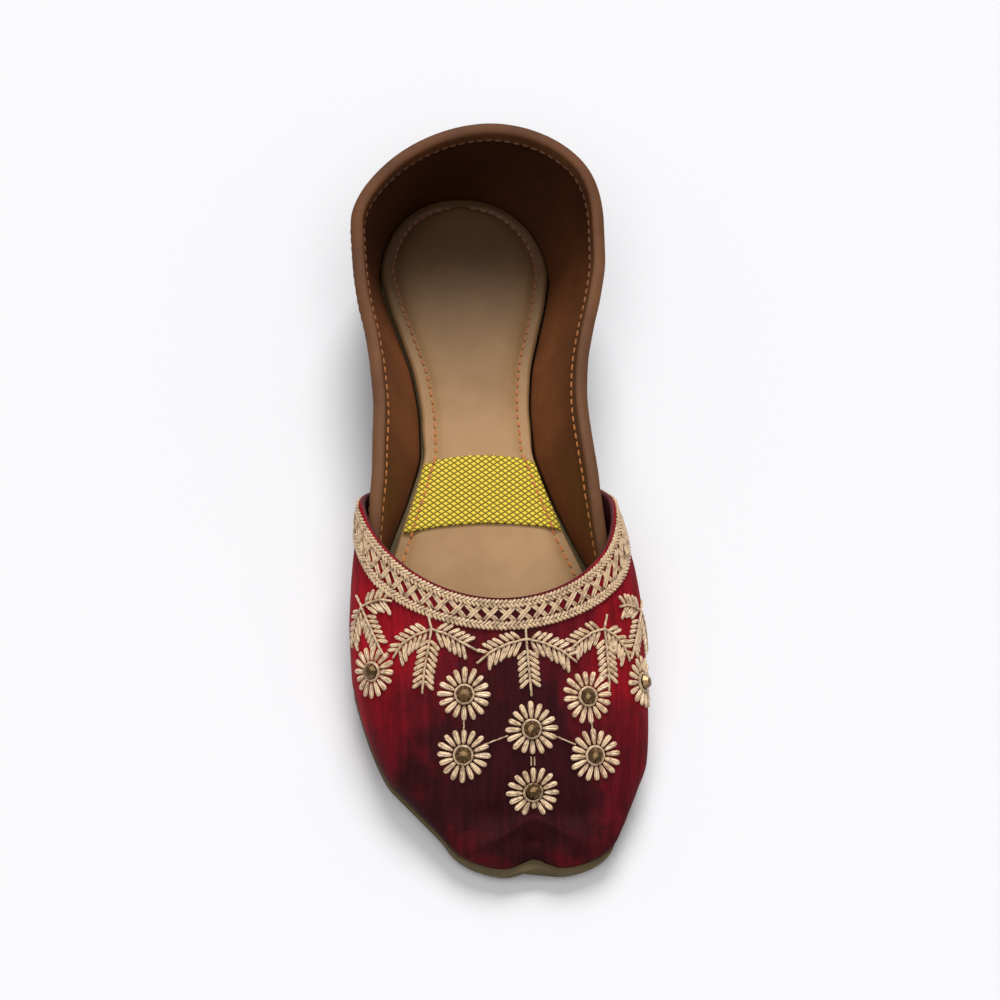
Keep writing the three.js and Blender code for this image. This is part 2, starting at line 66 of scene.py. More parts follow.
# Tables by share of the sole's length
ballHalf, waistHalf, heelHalf = ballWidth / 2, waistWidth / 2, heelWidth / 2
narrowing = [(0.351, 0.11), (0.413, 0.29), (0.475, 0.54), (0.537, 0.78), (0.599, 0.955), (0.637, 1)]
widening = [(0.702, 0.13), (0.764, 0.47), (0.826, 0.84), (0.876, 1), (1, 1)]
soleRows = [(0, ballHalf), (0.25, ballHalf), (0.295, ballHalf * 0.995)]
soleRows += [(at, mix(ballHalf, waistHalf, part)) for at, part in narrowing]
soleRows += [(at, mix(waistHalf, heelHalf, part)) for at, part in widening]
taperRows = [
    (0, 0.55), (0.041, 0.595), (0.057, 0.645), (0.094, 0.772), (0.129, 0.883), (0.187, 0.955), (0.25, 1),
]
swingRows = [
    (0, 1.2), (0.045, 1.02), (0.087, 0.74), (0.128, 0.45), (0.186, 0.18), (0.256, -0.05), (0.35, -0.1),
    (0.46, -0.2), (0.53, -0.13), (0.6, -0.05), (0.88, 0.06), (1, 0.08),
]
riseRows = [
    (0, toeSpring), (0.07, toeSpring * 0.5), (0.15, toeSpring * 0.08), (0.2, 0), (0.36, 0),
    (0.46, archRise * 0.5), (0.58, archRise), (0.68, archRise * 0.4), (0.76, 0), (0.95, 0), (1, 0),
]
vampAt = [0, 0.045, 0.087, 0.165, 0.25, 0.31, 0.364, 0.413, 0.463, 0.517, 0.6]
vampSide = list(zip(vampAt, [1, 1, 1, 1, 1, 1, 0.974, 0.92, 0.86, 0.805, 0.775]))
vampSideHeight = list(zip(vampAt, [0.22, 0.26, 0.29, 0.34, 0.4, 0.49, 0.65, 0.82, 0.97, 1.02, 1.03]))
crestShares = [toeHeight / throatHeight, 0.385, 0.49, 0.71, 0.895, 1, 1.08, 1.13, 1.18, 1.21, 1.23]
vampCrest = list(zip(vampAt, crestShares))
vampLean = list(zip(vampAt, [0, 0, 0, 0, 0, 0, 0.12, 0.45, 0.82, 1, 0.75]))
quarterAt = [0.355, 0.388, 0.426, 0.463, 0.5, 0.55, 0.6, 0.65, 0.7, 0.75, 0.8, 0.855, 0.94, 1]
collarHalf, collarWaistHalf = collarWidth / 2, collarWaist / 2
quarterHalves = [collarWaistHalf * part for part in (1.132, 1.123, 1.094, 1.066, 1.043, 1.019, 1)]
quarterHalves += [mix(collarWaistHalf, collarHalf, part) for part in (0.1, 0.37, 0.75, 0.97, 1, 1, 1)]
quarterHalf = list(zip(quarterAt, quarterHalves))
heelLift = [0, 0, 0, 0, 0, 0, 0.02, 0.09, 0.2, 0.33, 0.46, 0.63, 0.9, 1]
frontDrop = [0.6, 0.76, 0.89, 0.975] + [1] * 10
quarterHeight = [
    (at, mix(collarHeight, counterHeight, lift) * drop)
    for at, lift, drop in zip(quarterAt, heelLift, frontDrop)
]
shiftShares = [-0.275, -0.336, -0.39, -0.39, -0.336, -0.32, -0.275, -0.22, -0.11, -0.01, 0.09, 0.125, 0.64, 1]
quarterShift = [(at, collarSwing * part) for at, part in zip(quarterAt, shiftShares)]


# A table's value at any share, through its rows without overshoot
def read(rows, at):
    ats, values = np.array(rows, float).T
    slopes = np.diff(values) / np.diff(ats)
    before, after = slopes[:-1], slopes[1:]
    same = before * after > 0
    inner = np.where(same, 2 * before * after / np.where(same, before + after, 1), 0)
    pulls = np.concatenate([slopes[:1], inner, slopes[-1:]])
    at = np.clip(at, ats[0], ats[-1])
    i = np.clip(np.searchsorted(ats, at, side="right") - 1, 0, len(ats) - 2)
    step = ats[i + 1] - ats[i]
    t = (at - ats[i]) / step
    rise = values[i + 1] - values[i]
    start, end = pulls[i] * step, pulls[i + 1] * step
    return values[i] + start * t + (3 * rise - 2 * start - end) * t**2 + (start + end - 2 * rise) * t**3


def middle(y):
    return toeSwing * read(swingRows, y / soleLength)


def soleUnder(y):
    return read(riseRows, y / soleLength)


def seatHeight(y):
    return soleUnder(y) + soleThickness + seatGap


def roundEnd(run, length, power):
    return (1 - (1 - np.clip(run / length, 0, 1)) ** power) ** (1 / power)


def soleHalf(y, inset=0, toeInset=0):
    half = read(soleRows, y / soleLength) * read(taperRows, y / soleLength) - inset
    toe = roundEnd(y - toeInset, toeTipLength, toePower)
    return half * toe * roundEnd(soleLength - inset - y, soleLength - inset - heelStart, heelPower)


def bump(distance, width):
    return np.exp(-((distance / width) ** 2))


def notched(points, depth):
    points = np.array(points, float)
    points[..., 1] += depth * bump(points[..., 0] - toeSwing, notchWidth) * bump(points[..., 1], notchReach)
    return points


# Soft forms of the silk over the toe: a roof-shaped ridge behind the notch and a dimple in front of it
toeForms = dict(
    ridgePeak=12.5, ridgeFall=0.42, ridgeWidth=2.1, ridgeHeight=2.2, ridgeReach=16,
    dimpleAt=5.5, dimpleDepth=2.0, dimpleWidth=3.2, dimpleLength=2.4,
    hollowOff=12.5, hollowAt=14.5, hollowWidth=7, hollowLength=3.6, hollowDepth=2.6,
    backDepth=2.0, backAt=19, onset=1.2,
)


def toeRelief(x, y):
    form = toeForms
    off = x - toeSwing
    line = form["ridgePeak"] - np.abs(off) * form["ridgeFall"]
    ridge = bump(y - line, form["ridgeWidth"]) * np.exp(-((off / form["ridgeReach"]) ** 4))
    dimple = bump(off, form["dimpleWidth"]) * bump(y - form["dimpleAt"], form["dimpleLength"])
    beside = bump(np.abs(off) - form["hollowOff"], form["hollowWidth"])
    hollow = beside * bump(y - form["hollowAt"], form["hollowLength"])
    behind = bump(off, form["hollowOff"]) * bump(y - form["backAt"], form["hollowLength"])
    raised = form["ridgeHeight"] * ridge - form["dimpleDepth"] * dimple
    return raised - form["hollowDepth"] * hollow - form["backDepth"] * behind


def vampBase(across, y):
    across, y = np.broadcast_arrays(np.asarray(across, float), np.asarray(y, float))
    at = y / soleLength
    s = np.abs(2 * across - 1)
    sign = np.where(across < 0.5, -1, 1)
    toe = read(taperRows, at) * roundEnd(y - toeRim, toeTipLength, toePower)
    cap = roundEnd(y - toeRim, toeCapLength, capPower)
    floor = seatHeight(y)
    foot = soleHalf(y, sideRim, toeRim)
    side = np.maximum(vampWidth / 2 * read(vampSide, at) * toe, foot)
    sideHeight = mix(floor, collarHeight * read(vampSideHeight, at), cap)
    crest = mix(floor, throatHeight * read(vampCrest, at), cap)
    lean = throatLean * read(vampLean, at)
    t = (1 - s) / (1 - archShare)
    bow = np.sin(np.minimum(t, 1) * math.pi / 2)
    angle = np.clip(s / archShare, 0, 1) * math.pi / 2
    low = s > archShare
    lowX = mix(foot, side, bow) * sign + lean * bow
    highX = sign * side * np.sin(angle) ** (2 / archPower) + lean
    x = np.where(low, lowX, highX) + middle(y)
    arch = mix(sideHeight, crest, np.maximum(np.cos(angle), 0) ** (2 / archPower))
    off = x - toeSwing
    troughLine = toeRim + troughBack + troughBend * bump(off, notchWidth)
    fall = bump(y - troughLine, troughWidth) * np.exp(-((off / troughReach) ** 4))
    relief = toeRelief(x, y) * np.minimum(cap * toeForms["onset"], 1)
    arch = arch + (relief - toeTrough * fall) * np.cos(angle)
    z = np.where(low, mix(floor, sideHeight, t), arch)
    return notched(np.stack([x, y, z], -1), upperNotch)

# Steps for slopes on the vamp and the quarters, and the least distance behind the toe
slopeStep = dict(across=0.004, y=0.25, least=0.01, around=0.002)


def normalOf(across, y):
    step, run = slopeStep["across"], slopeStep["y"]
    acrossWay = vampBase(np.minimum(across + step, 1), y) - vampBase(np.maximum(across - step, 0), y)
    alongWay = vampBase(across, y + run) - vampBase(across, np.maximum(y - run, toeRim + slopeStep["least"]))
    normal = np.cross(acrossWay, alongWay)
    edge = (across <= 0) | (across >= 1)
    normal[..., 2] = np.where(edge, 0, normal[..., 2])
    return normal / np.linalg.norm(normal, axis=-1, keepdims=True)


def vampFace(across, y, distance):
    across, y = np.broadcast_arrays(np.asarray(across, float), np.asarray(y, float))
    return vampBase(across, y) + normalOf(across, y) * np.expand_dims(np.broadcast_to(distance, y.shape), -1)


def sideReach(y, z):
    foot = soleHalf(y, sideRim, toeRim)
    side = vampWidth / 2 * read(vampSide, y / soleLength)
    floor = seatHeight(y)
    top = collarHeight * read(vampSideHeight, y / soleLength)
    return mix(foot, side, np.sin(np.clip((z - floor) / (top - floor), 0, 1) * math.pi / 2))


# Where the throat, moved forward by a distance, lies on lines of constant share across
frontRun, sideRun, throatRounds, throatMargin = 0.88, 1.36, 34, 5.0


def throatAt(across, forward):
    across = np.asarray(across, float)
    front = throatFront - forward * frontRun
    slant = (vampFoot - throatCorner) / (collarHeight - soleThickness)
    low = np.full(across.shape, throatFront - 2 * np.max(forward) - throatMargin)
    high = np.full(across.shape, vampFoot + throatMargin)
    for _ in range(throatRounds):
        y = (low + high) / 2
        point = vampBase(across, y)
        corner = throatCorner - forward * sideRun + slant * np.maximum(collarHeight - point[..., 2], 0)
        lean = throatLean * read(vampLean, y / soleLength)
        wide = sideReach(corner, point[..., 2])
        inside = 1 - np.minimum(np.abs(point[..., 0] - middle(y) - lean) / wide, 1) ** 2
        edge = corner - (throatCorner - forward * sideRun - front) * np.sqrt(inside)
        low, high = np.where(edge > y, y, low), np.where(edge > y, high, y)
    return (low + high) / 2


def ease(t):
    t = np.clip(t, 0, 1)
    return t * t * (3 - 2 * t)


def stepAt(y):
    return vampStep * (1 - ease((y - vampFoot) / stepRun))


def quarterBase(around, up):
    around, up = np.broadcast_arrays(np.asarray(around, float), np.asarray(up, float))
    angle = math.pi * np.clip((around - sideShare) / (1 - 2 * sideShare), 0, 1)
    side, cosine, sine = -np.sign(np.cos(angle)), np.abs(np.cos(angle)), np.sin(angle)
    footOut, topOut = side * cosine ** (2 / heelPower), side * cosine ** (2 / collarPower)
    onHeel = (around > sideShare) & (around < 1 - sideShare)
    sign = np.where(around < 0.5, -1, 1)
    y = mix(quarterFront, heelStart, np.where(around < 0.5, around, 1 - around) / sideShare)
    baseY = np.where(onHeel, mix(heelStart, soleLength - sideRim, sine ** (2 / heelPower)), y)
    topY = np.where(onHeel, mix(heelStart, collarBack, sine ** (2 / collarPower)), y)
    stepped = sign * (soleHalf(y, sideRim) - stepAt(y))
    footHalf = np.where(onHeel, footOut * soleHalf(heelStart, sideRim), stepped)
    topHalf = np.where(onHeel, topOut * collarHalf, sign * read(quarterHalf, y / soleLength))
    base = np.stack([middle(baseY) + footHalf, baseY, seatHeight(baseY)], -1)
    topAt = topY / soleLength
    top = np.stack([read(quarterShift, topAt) + topHalf, topY, read(quarterHeight, topAt)], -1)
    bow = mix(up, np.sin(up * math.pi / 2), 0.5)[..., None]
    points = mix(base, top, bow)
    points[..., 2] = mix(base[..., 2], top[..., 2], up)
    return points


def quarterFace(around, up, distance):
    around, up = np.broadcast_arrays(np.asarray(around, float), np.asarray(up, float))
    step = slopeStep["around"]
    roundWay = quarterBase(np.minimum(around + step, 1), up) - quarterBase(np.maximum(around - step, 0), up)
    upWay = quarterBase(around, np.minimum(up + step, 1)) - quarterBase(around, np.maximum(up - step, 0))
    normal = np.cross(upWay, roundWay)
    normal[..., 2] = np.where(up <= 0, 0, normal[..., 2])
    normal /= np.linalg.norm(normal, axis=-1, keepdims=True)
    return quarterBase(around, up) + normal * np.expand_dims(np.broadcast_to(distance, up.shape), -1)


# Mesh building
def makeMesh(name, points, faces, materials, faceMaterial=None, edges=()):
    mesh = bpy.data.meshes.new(name)
    mesh.from_pydata([tuple(p) for p in place(points)], [tuple(e) for e in edges], [tuple(f) for f in faces])
    for material in materials:
        mesh.materials.append(material)
    if faceMaterial is not None:
        mesh.polygons.foreach_set("material_index", np.asarray(faceMaterial, np.int32))
    mesh.shade_smooth()
    mesh.validate()
    piece = bpy.data.objects.new(name, mesh)
    bpy.context.scene.collection.objects.link(piece)
    return piece


# Quads over a grid of points whose columns may close on themselves
def gridFaces(rows, columns, closeColumns=False, start=0):
    j = np.arange(rows - 1)[:, None]
    i = np.arange(columns if closeColumns else columns - 1)[None, :]
    a = j * columns + i
    right = j * columns + (i + 1) % columns
    return (np.stack([a, right, right + columns, a + columns], -1).reshape(-1, 4) + start).tolist()


# A closed tube of rings, its end rings filled
def tubeFaces(rows, columns):
    faces = gridFaces(rows, columns, closeColumns=True)
    return faces + [list(range(columns))[::-1], list(range((rows - 1) * columns, rows * columns))]


def srgb(red, green, blue):
    def linear(value):
        value /= 255
        return value / 12.92 if value <= 0.04045 else ((value + 0.055) / 1.055) ** 2.4

    return (linear(red), linear(green), linear(blue), 1)


# Node building: a socket takes a plain value or a link
def feed(tree, socket, value):
    if isinstance(value, bpy.types.NodeSocket):
        tree.links.new(value, socket)
    else:
        socket.default_value = value


def addNode(tree, kind, settings=None, **values):
    node = tree.nodes.new(kind)
    for name, value in (settings or {}).items():
        setattr(node, name, value)
    for name, value in values.items():
        wanted = name.replace("_", " ").lower()
        feed(tree, next(s for s in node.inputs if s.enabled and s.name.lower() == wanted), value)
    return node


def out(node, name=None):
    return next(s for s in node.outputs if s.enabled and (name is None or s.name == name))


def mathNode(tree, operation, first, second=0.0):
    node = tree.nodes.new("ShaderNodeMath")
    node.operation = operation
    feed(tree, node.inputs[0], first)
    feed(tree, node.inputs[1], second)
    return node.outputs[0]


def plus(tree, total, *parts):
    for part in parts:
        total = mathNode(tree, "ADD", total, part)
    return total


def times(tree, total, *parts):
    for part in parts:
        total = mathNode(tree, "MULTIPLY", total, part)
    return total


def objectPlace(tree):
    return tree.nodes.new("ShaderNodeTexCoord").outputs["Object"]


def split(tree, vector):
    return addNode(tree, "ShaderNodeSeparateXYZ", Vector=vector).outputs


def noise(tree, where, scale, detail, roughness=0.5):
    return out(addNode(
        tree, "ShaderNodeTexNoise", Vector=where, Scale=scale, Detail=detail, Roughness=roughness,
    ))


def bumped(tree, height, distance, strength):
    return out(addNode(tree, "ShaderNodeBump", Strength=strength, Distance=distance, Height=height))


def mapRange(tree, value, start, end, first=0.0, last=1.0, kind="SMOOTHSTEP"):
    return out(addNode(
        tree, "ShaderNodeMapRange", {"interpolation_type": kind},
        Value=value, From_Min=start, From_Max=end, To_Min=first, To_Max=last,
    ))


def blendColour(tree, factor, first, second, kind="MIX"):
    node = tree.nodes.new("ShaderNodeMix")
    node.data_type = "RGBA"
    node.blend_type = kind
    for number, value in ((0, factor), (6, first), (7, second)):
        feed(tree, node.inputs[number], value)
    return node.outputs[2]


def newGroup(name, inputs, outputs, kind="ShaderNodeTree"):
    tree = bpy.data.node_groups.new(name, kind)
    for label, socketType, value in inputs:
        socket = tree.interface.new_socket(name=label, in_out="INPUT", socket_type=socketType)
        if value is not None:
            socket.default_value = value
    for label, socketType in outputs:
        tree.interface.new_socket(name=label, in_out="OUTPUT", socket_type=socketType)
    return tree, tree.nodes.new("NodeGroupInput"), tree.nodes.new("NodeGroupOutput")

def finishGroup(tree, result, *values):
    for socket, value in zip(result.inputs, values):
        tree.links.new(value, socket)
    return tree


# Leather grain on object coordinates: creased cells with a soft mottle
grainDetail = dict(mottle=45.0, pores=2200.0, crease=0.25, poreDepth=0.25, strength=0.6)


def leatherGrain():
    tree, given, result = newGroup(
        "leather grain",
        [("Scale", "NodeSocketFloat", 900.0), ("Depth", "NodeSocketFloat", 0.0002)],
        [("Mottle", "NodeSocketFloat"), ("Normal", "NodeSocketVector")],
    )
    where = objectPlace(tree)
    cells = addNode(
        tree, "ShaderNodeTexVoronoi", {"feature": "DISTANCE_TO_EDGE"},
        Vector=where, Scale=given.outputs["Scale"],
    )
    cloud = noise(tree, where, grainDetail["mottle"], 5.0, 0.6)
    pores = times(tree, noise(tree, where, grainDetail["pores"], 3.0), grainDetail["poreDepth"])
    height = plus(tree, mathNode(tree, "MINIMUM", out(cells), grainDetail["crease"]), pores)
    raised = bumped(tree, height, given.outputs["Depth"], grainDetail["strength"])
    return finishGroup(tree, result, cloud, raised)


# Slub silk: fine threads both ways, with thicker ones here and there along the shoe
weaveDetail = dict(
    longways=(1.0, 0.05, 0.3), crossways=(0.08, 1.0, 0.3), slub=480.0, cloud=28.0, weft=0.7, slubDepth=0.9,
    strength=0.7,
)


def slubWeave():
    tree, given, result = newGroup(
        "slub weave",
        [("Depth", "NodeSocketFloat", 0.0002), ("Threads", "NodeSocketFloat", 900.0)],
        [("Slub", "NodeSocketFloat"), ("Cloud", "NodeSocketFloat"), ("Normal", "NodeSocketVector")],
    )
    where = objectPlace(tree)
    longways, crossways = [
        out(addNode(tree, "ShaderNodeMapping", Vector=where, Scale=weaveDetail[way]))
        for way in ("longways", "crossways")
    ]
    warp = noise(tree, longways, given.outputs["Threads"], 2.0)
    weft = noise(tree, crossways, given.outputs["Threads"], 2.0)
    slub = noise(tree, longways, weaveDetail["slub"], 3.0, 0.65)
    cloud = noise(tree, where, weaveDetail["cloud"], 3.0)
    height = plus(
        tree, warp, times(tree, weft, weaveDetail["weft"]), times(tree, slub, weaveDetail["slubDepth"])
    )
    raised = bumped(tree, height, given.outputs["Depth"], weaveDetail["strength"])
    return finishGroup(tree, result, slub, cloud, raised)


# Thread: fine strands that run along each stitch with a slight twist, and a slow change of tone
plyDetail = dict(unevenScale=900.0, uneven=0.5, tone=620.0, strength=0.7)


def threadPly():
    tree, given, result = newGroup(
        "thread ply",
        [
            ("Strands", "NodeSocketFloat", 7.0), ("Twist", "NodeSocketFloat", 0.8),
            ("Depth", "NodeSocketFloat", 0.0002),
        ],
        [("Tone", "NodeSocketFloat"), ("Ply", "NodeSocketFloat"), ("Normal", "NodeSocketVector")],
    )
    where = objectPlace(tree)
    parts = split(tree, out(addNode(tree, "ShaderNodeUVMap", {"uv_map": "strand"})))
    uneven = noise(tree, where, plyDetail["unevenScale"], 1.0)
    turns = plus(
        tree, times(tree, parts[0], given.outputs["Strands"]), times(tree, parts[1], given.outputs["Twist"]),
        times(tree, uneven, plyDetail["uneven"]),
    )
    wave = mathNode(tree, "SINE", times(tree, turns, 2 * math.pi))
    ply = plus(tree, times(tree, wave, 0.5), 0.5)
    tone = noise(tree, where, plyDetail["tone"], 1.0)
    raised = bumped(tree, ply, given.outputs["Depth"], plyDetail["strength"])
    return finishGroup(tree, result, tone, ply, raised)


# Zigzag lines under the forefoot, in metres along the shoe: where they start and stop, how high up the wave
# a line begins and how steep it is, and how far a face may turn from straight down
treadDetail = dict(
    front=(-0.092, -0.084), back=(-0.012, -0.002), facing=(-0.95, -0.8), begin=0.8, steep=5.0,
    tone=srgb(72, 60, 40),
)


def treadLines():
    tree, given, result = newGroup(
        "tread lines",
        [
            ("Spacing", "NodeSocketFloat", 0.008), ("Width", "NodeSocketFloat", 0.006),
            ("Swing", "NodeSocketFloat", 0.6),
        ],
        [("Line", "NodeSocketFloat")],
    )
    parts = split(tree, objectPlace(tree))
    zigzag = mathNode(tree, "PINGPONG", parts[0], given.outputs["Width"])
    phase = plus(tree, parts[1], times(tree, zigzag, given.outputs["Swing"]))
    turns = mathNode(tree, "DIVIDE", times(tree, phase, 2 * math.pi), given.outputs["Spacing"])
    over = mathNode(tree, "SUBTRACT", mathNode(tree, "SINE", turns), treadDetail["begin"])
    line = times(tree, mathNode(tree, "MAXIMUM", over, 0.0), treadDetail["steep"])
    near = mapRange(tree, parts[1], *treadDetail["back"], 1.0, 0.0)
    far = mapRange(tree, parts[1], *treadDetail["front"])
    facing = split(tree, tree.nodes.new("ShaderNodeNewGeometry").outputs["True Normal"])[2]
    low = mapRange(tree, facing, *treadDetail["facing"], 1.0, 0.0, "LINEAR")
    return finishGroup(tree, result, times(tree, line, times(tree, near, far, low)))


groups = {"leather": leatherGrain(), "silk": slubWeave(), "thread": threadPly(), "tread": treadLines()}


# A material with its own Principled BSDF; returns its tree, the shader and the effect group's node
def startMaterial(name, group=None, roughness=0.6, metallic=0.0, **values):
    material = bpy.data.materials.new(name)
    material.use_nodes = True
    tree = material.node_tree
    shader = tree.nodes["Principled BSDF"]
    shader.inputs["Roughness"].default_value = roughness
    shader.inputs["Metallic"].default_value = metallic
    effect = None
    if group:
        effect = addNode(tree, "ShaderNodeGroup", {"node_tree": groups[group]})
        for label, value in values.items():
            effect.inputs[label].default_value = value
        tree.links.new(effect.outputs["Normal"], shader.inputs["Normal"])
    return material, tree, shader, effect


def ramp(tree, factor, stops):
    node = tree.nodes.new("ShaderNodeValToRGB")
    node.color_ramp.interpolation = "EASE"
    while len(node.color_ramp.elements) < len(stops):
        node.color_ramp.elements.new(0.5)
    for element, (at, colour) in zip(node.color_ramp.elements, stops):
        element.position = at
        element.color = colour
    tree.links.new(factor, node.inputs[0])
    return node.outputs[0]


# Painted shade: darkens a colour towards the heel, where the heel counter's shadow falls; where along the shoe
# it starts and ends, in metres, and the tint at the end
def paintHeelShade(tree, colour, paintedShade):
    along = mapRange(tree, split(tree, objectPlace(tree))[1], paintedShade["start"], paintedShade["end"])
    shadeTint = blendColour(tree, along, (1, 1, 1, 1), (*paintedShade["shadeTint"], 1))
    return blendColour(tree, 1.0, colour, shadeTint, "MULTIPLY")


def paint(tree, shader, colour, gloss):
    tree.links.new(colour, shader.inputs["Base Color"])
    shader.inputs["Specular IOR Level"].default_value = gloss


# Where along their textures the tones of leather and thread begin and end, how much painted shade darkens the
# grooves between a thread's strands, and how glossy each is
leatherLook = dict(toneAt=(0.3, 0.72), gloss=0.2)
threadLook = dict(toneAt=(0.36, 0.52), plyAt=(0.0, 0.32), plyGrooveShade=0.75, gloss=0.85)


def leatherMaterial(name, light, dark, roughness=0.55, depth=0.0002, scale=900.0, paintedShade=None):
    material, tree, shader, effect = startMaterial(name, "leather", roughness, Depth=depth, Scale=scale)
    colour = ramp(tree, effect.outputs["Mottle"], list(zip(leatherLook["toneAt"], (dark, light))))
    # Painted heel shade, where the heel counter's shadow falls
    if paintedShade:
        colour = paintHeelShade(tree, colour, paintedShade)
    paint(tree, shader, colour, leatherLook["gloss"])
    return material


def threadMaterial(name, light, dark, roughness=0.5, strands=7.0, depth=0.0003, paintedShade=None):
    material, tree, shader, effect = startMaterial(name, "thread", roughness, Strands=strands, Depth=depth)
    between = tuple((a + b) / 2 for a, b in zip(light, dark))
    base = ramp(tree, effect.outputs["Tone"], list(zip(threadLook["toneAt"], (between, light))))
    ends = ((1, 1, 1, 1), (0, 0, 0, 1))
    # Painted shade in the grooves between strands, blended towards the dark tone
    plyGrooveShade = ramp(tree, effect.outputs["Ply"], list(zip(threadLook["plyAt"], ends)))
    colour = blendColour(tree, times(tree, plyGrooveShade, threadLook["plyGrooveShade"]), base, dark)
    # Painted heel shade, where the heel counter's shadow falls
    if paintedShade:
        colour = paintHeelShade(tree, colour, paintedShade)
    paint(tree, shader, colour, threadLook["gloss"])
    return material


# Silk tones: the offset from the middle gives a painted sheen that brightens the flanks, and the toe values
# give a band of painted shade across the toe
silkLook = dict(
    red=srgb(128, 10, 23), bright=srgb(156, 14, 31), deep=srgb(90, 10, 19), black=srgb(48, 8, 14),
    toneAt=(0.05, 0.34, 0.66, 0.98), centre=0.003, spread=15.0, cloud=0.9, floor=0.62,
    patch=0.5, patchScale=110.0, toeDark=0.0, toeLight=0.038, toeAt=-0.098, toePaintedShade=0.42,
    streakAt=(0.36, 0.64), streakTones=((0.76, 0.72, 0.72, 1), (1.2, 1.2, 1.2, 1)), gloss=0.1,
)
# Quarter silk: darker tones, the same painted sheen on the flanks and no painted toe shade
clothLook = dict(
    silkLook, bright=srgb(74, 13, 22), red=srgb(66, 12, 20), deep=srgb(58, 11, 18), patch=0.4, floor=0.6,
    toePaintedShade=0.0,
)


# Shot silk with painted light: a painted sheen makes it bright on the flanks and deep along the middle, and
# painted shade darkens it round the toe
def silkMaterial(name, look):
    material, tree, shader, effect = startMaterial(name, "silk", 0.75, Depth=0.00025, Threads=1100.0)
    where = objectPlace(tree)
    parts = split(tree, where)
    off = mathNode(tree, "ABSOLUTE", mathNode(tree, "SUBTRACT", parts[0], look["centre"]))
    # Painted shade: a darker band across the toe, where its hollow lies in shade
    fromToe = mathNode(tree, "ABSOLUTE", mathNode(tree, "SUBTRACT", parts[1], look["toeAt"]))
    toe = mapRange(tree, fromToe, look["toeDark"], look["toeLight"], look["toePaintedShade"], 0.0)
    patches = noise(tree, where, look["patchScale"], 4.0, 0.7)
    # Painted sheen brightening the flanks with distance from the middle, plus the cloth's own cloud and patches
    spread = plus(
        tree, times(tree, off, look["spread"]), times(tree, effect.outputs["Cloud"], look["cloud"]),
        times(tree, patches, look["patch"]),
    )
    flank = mathNode(tree, "SUBTRACT", mathNode(tree, "SUBTRACT", spread, toe), look["floor"])
    tones = [look[tone] for tone in ("black", "deep", "red", "bright")]
    base = ramp(tree, flank, list(zip(look["toneAt"], tones)))
    streak = ramp(tree, effect.outputs["Slub"], list(zip(look["streakAt"], look["streakTones"])))
    paint(tree, shader, blendColour(tree, 1.0, base, streak, "MULTIPLY"), look["gloss"])
    return material


# Strip of yellow braid: raised lozenges between two sets of slanted lines; painted shade darkens the low lines
# between the lozenges
braidLook = dict(
    slant=(1.0, -0.84), scale=205.0, distortion=0.8, swell=0.5, depth=0.0004, strength=0.8, toneAt=(0.2, 0.7),
    tones=(srgb(110, 90, 10), srgb(226, 200, 56)),
)


def braidMaterial():
    material, tree, shader, _ = startMaterial("yellow_weave", None, 0.8)
    where = objectPlace(tree)
    sets = []
    for slant in braidLook["slant"]:
        turned = addNode(tree, "ShaderNodeMapping", Vector=where, Rotation=(0.0, 0.0, slant))
        lines = addNode(
            tree, "ShaderNodeTexWave", {"bands_direction": "X"}, Vector=out(turned),
            Scale=braidLook["scale"], Distortion=braidLook["distortion"], Detail_Scale=0.5,
        )
        sets.append(out(lines, "Fac"))
    height = mathNode(tree, "POWER", mathNode(tree, "MINIMUM", *sets), braidLook["swell"])
    # Painted shade: the lower the braid, the darker its colour
    colour = ramp(tree, height, list(zip(braidLook["toneAt"], braidLook["tones"])))
    tree.links.new(colour, shader.inputs["Base Color"])
    tree.links.new(bumped(tree, height, braidLook["depth"], braidLook["strength"]), shader.inputs["Normal"])
    return material


# The sole's leather with the zigzag lines in a darker tone
def soleMaterial():
    material = leatherMaterial("sole_leather", srgb(104, 90, 62), srgb(88, 75, 52), 0.8, 0.0002, 600.0)
    tree = material.node_tree
    base = tree.nodes["Principled BSDF"].inputs["Base Color"]
    tread = addNode(tree, "ShaderNodeGroup", {"node_tree": groups["tread"]})
    colour = blendColour(tree, tread.outputs["Line"], base.links[0].from_socket, treadDetail["tone"])
    tree.links.new(colour, base)
    return material


def liningSilk():
    material, _, shader, _ = startMaterial("vamp_lining", "silk", 0.8, Depth=0.0001, Threads=900.0)
    shader.inputs["Base Color"].default_value = srgb(78, 16, 24)
    return material


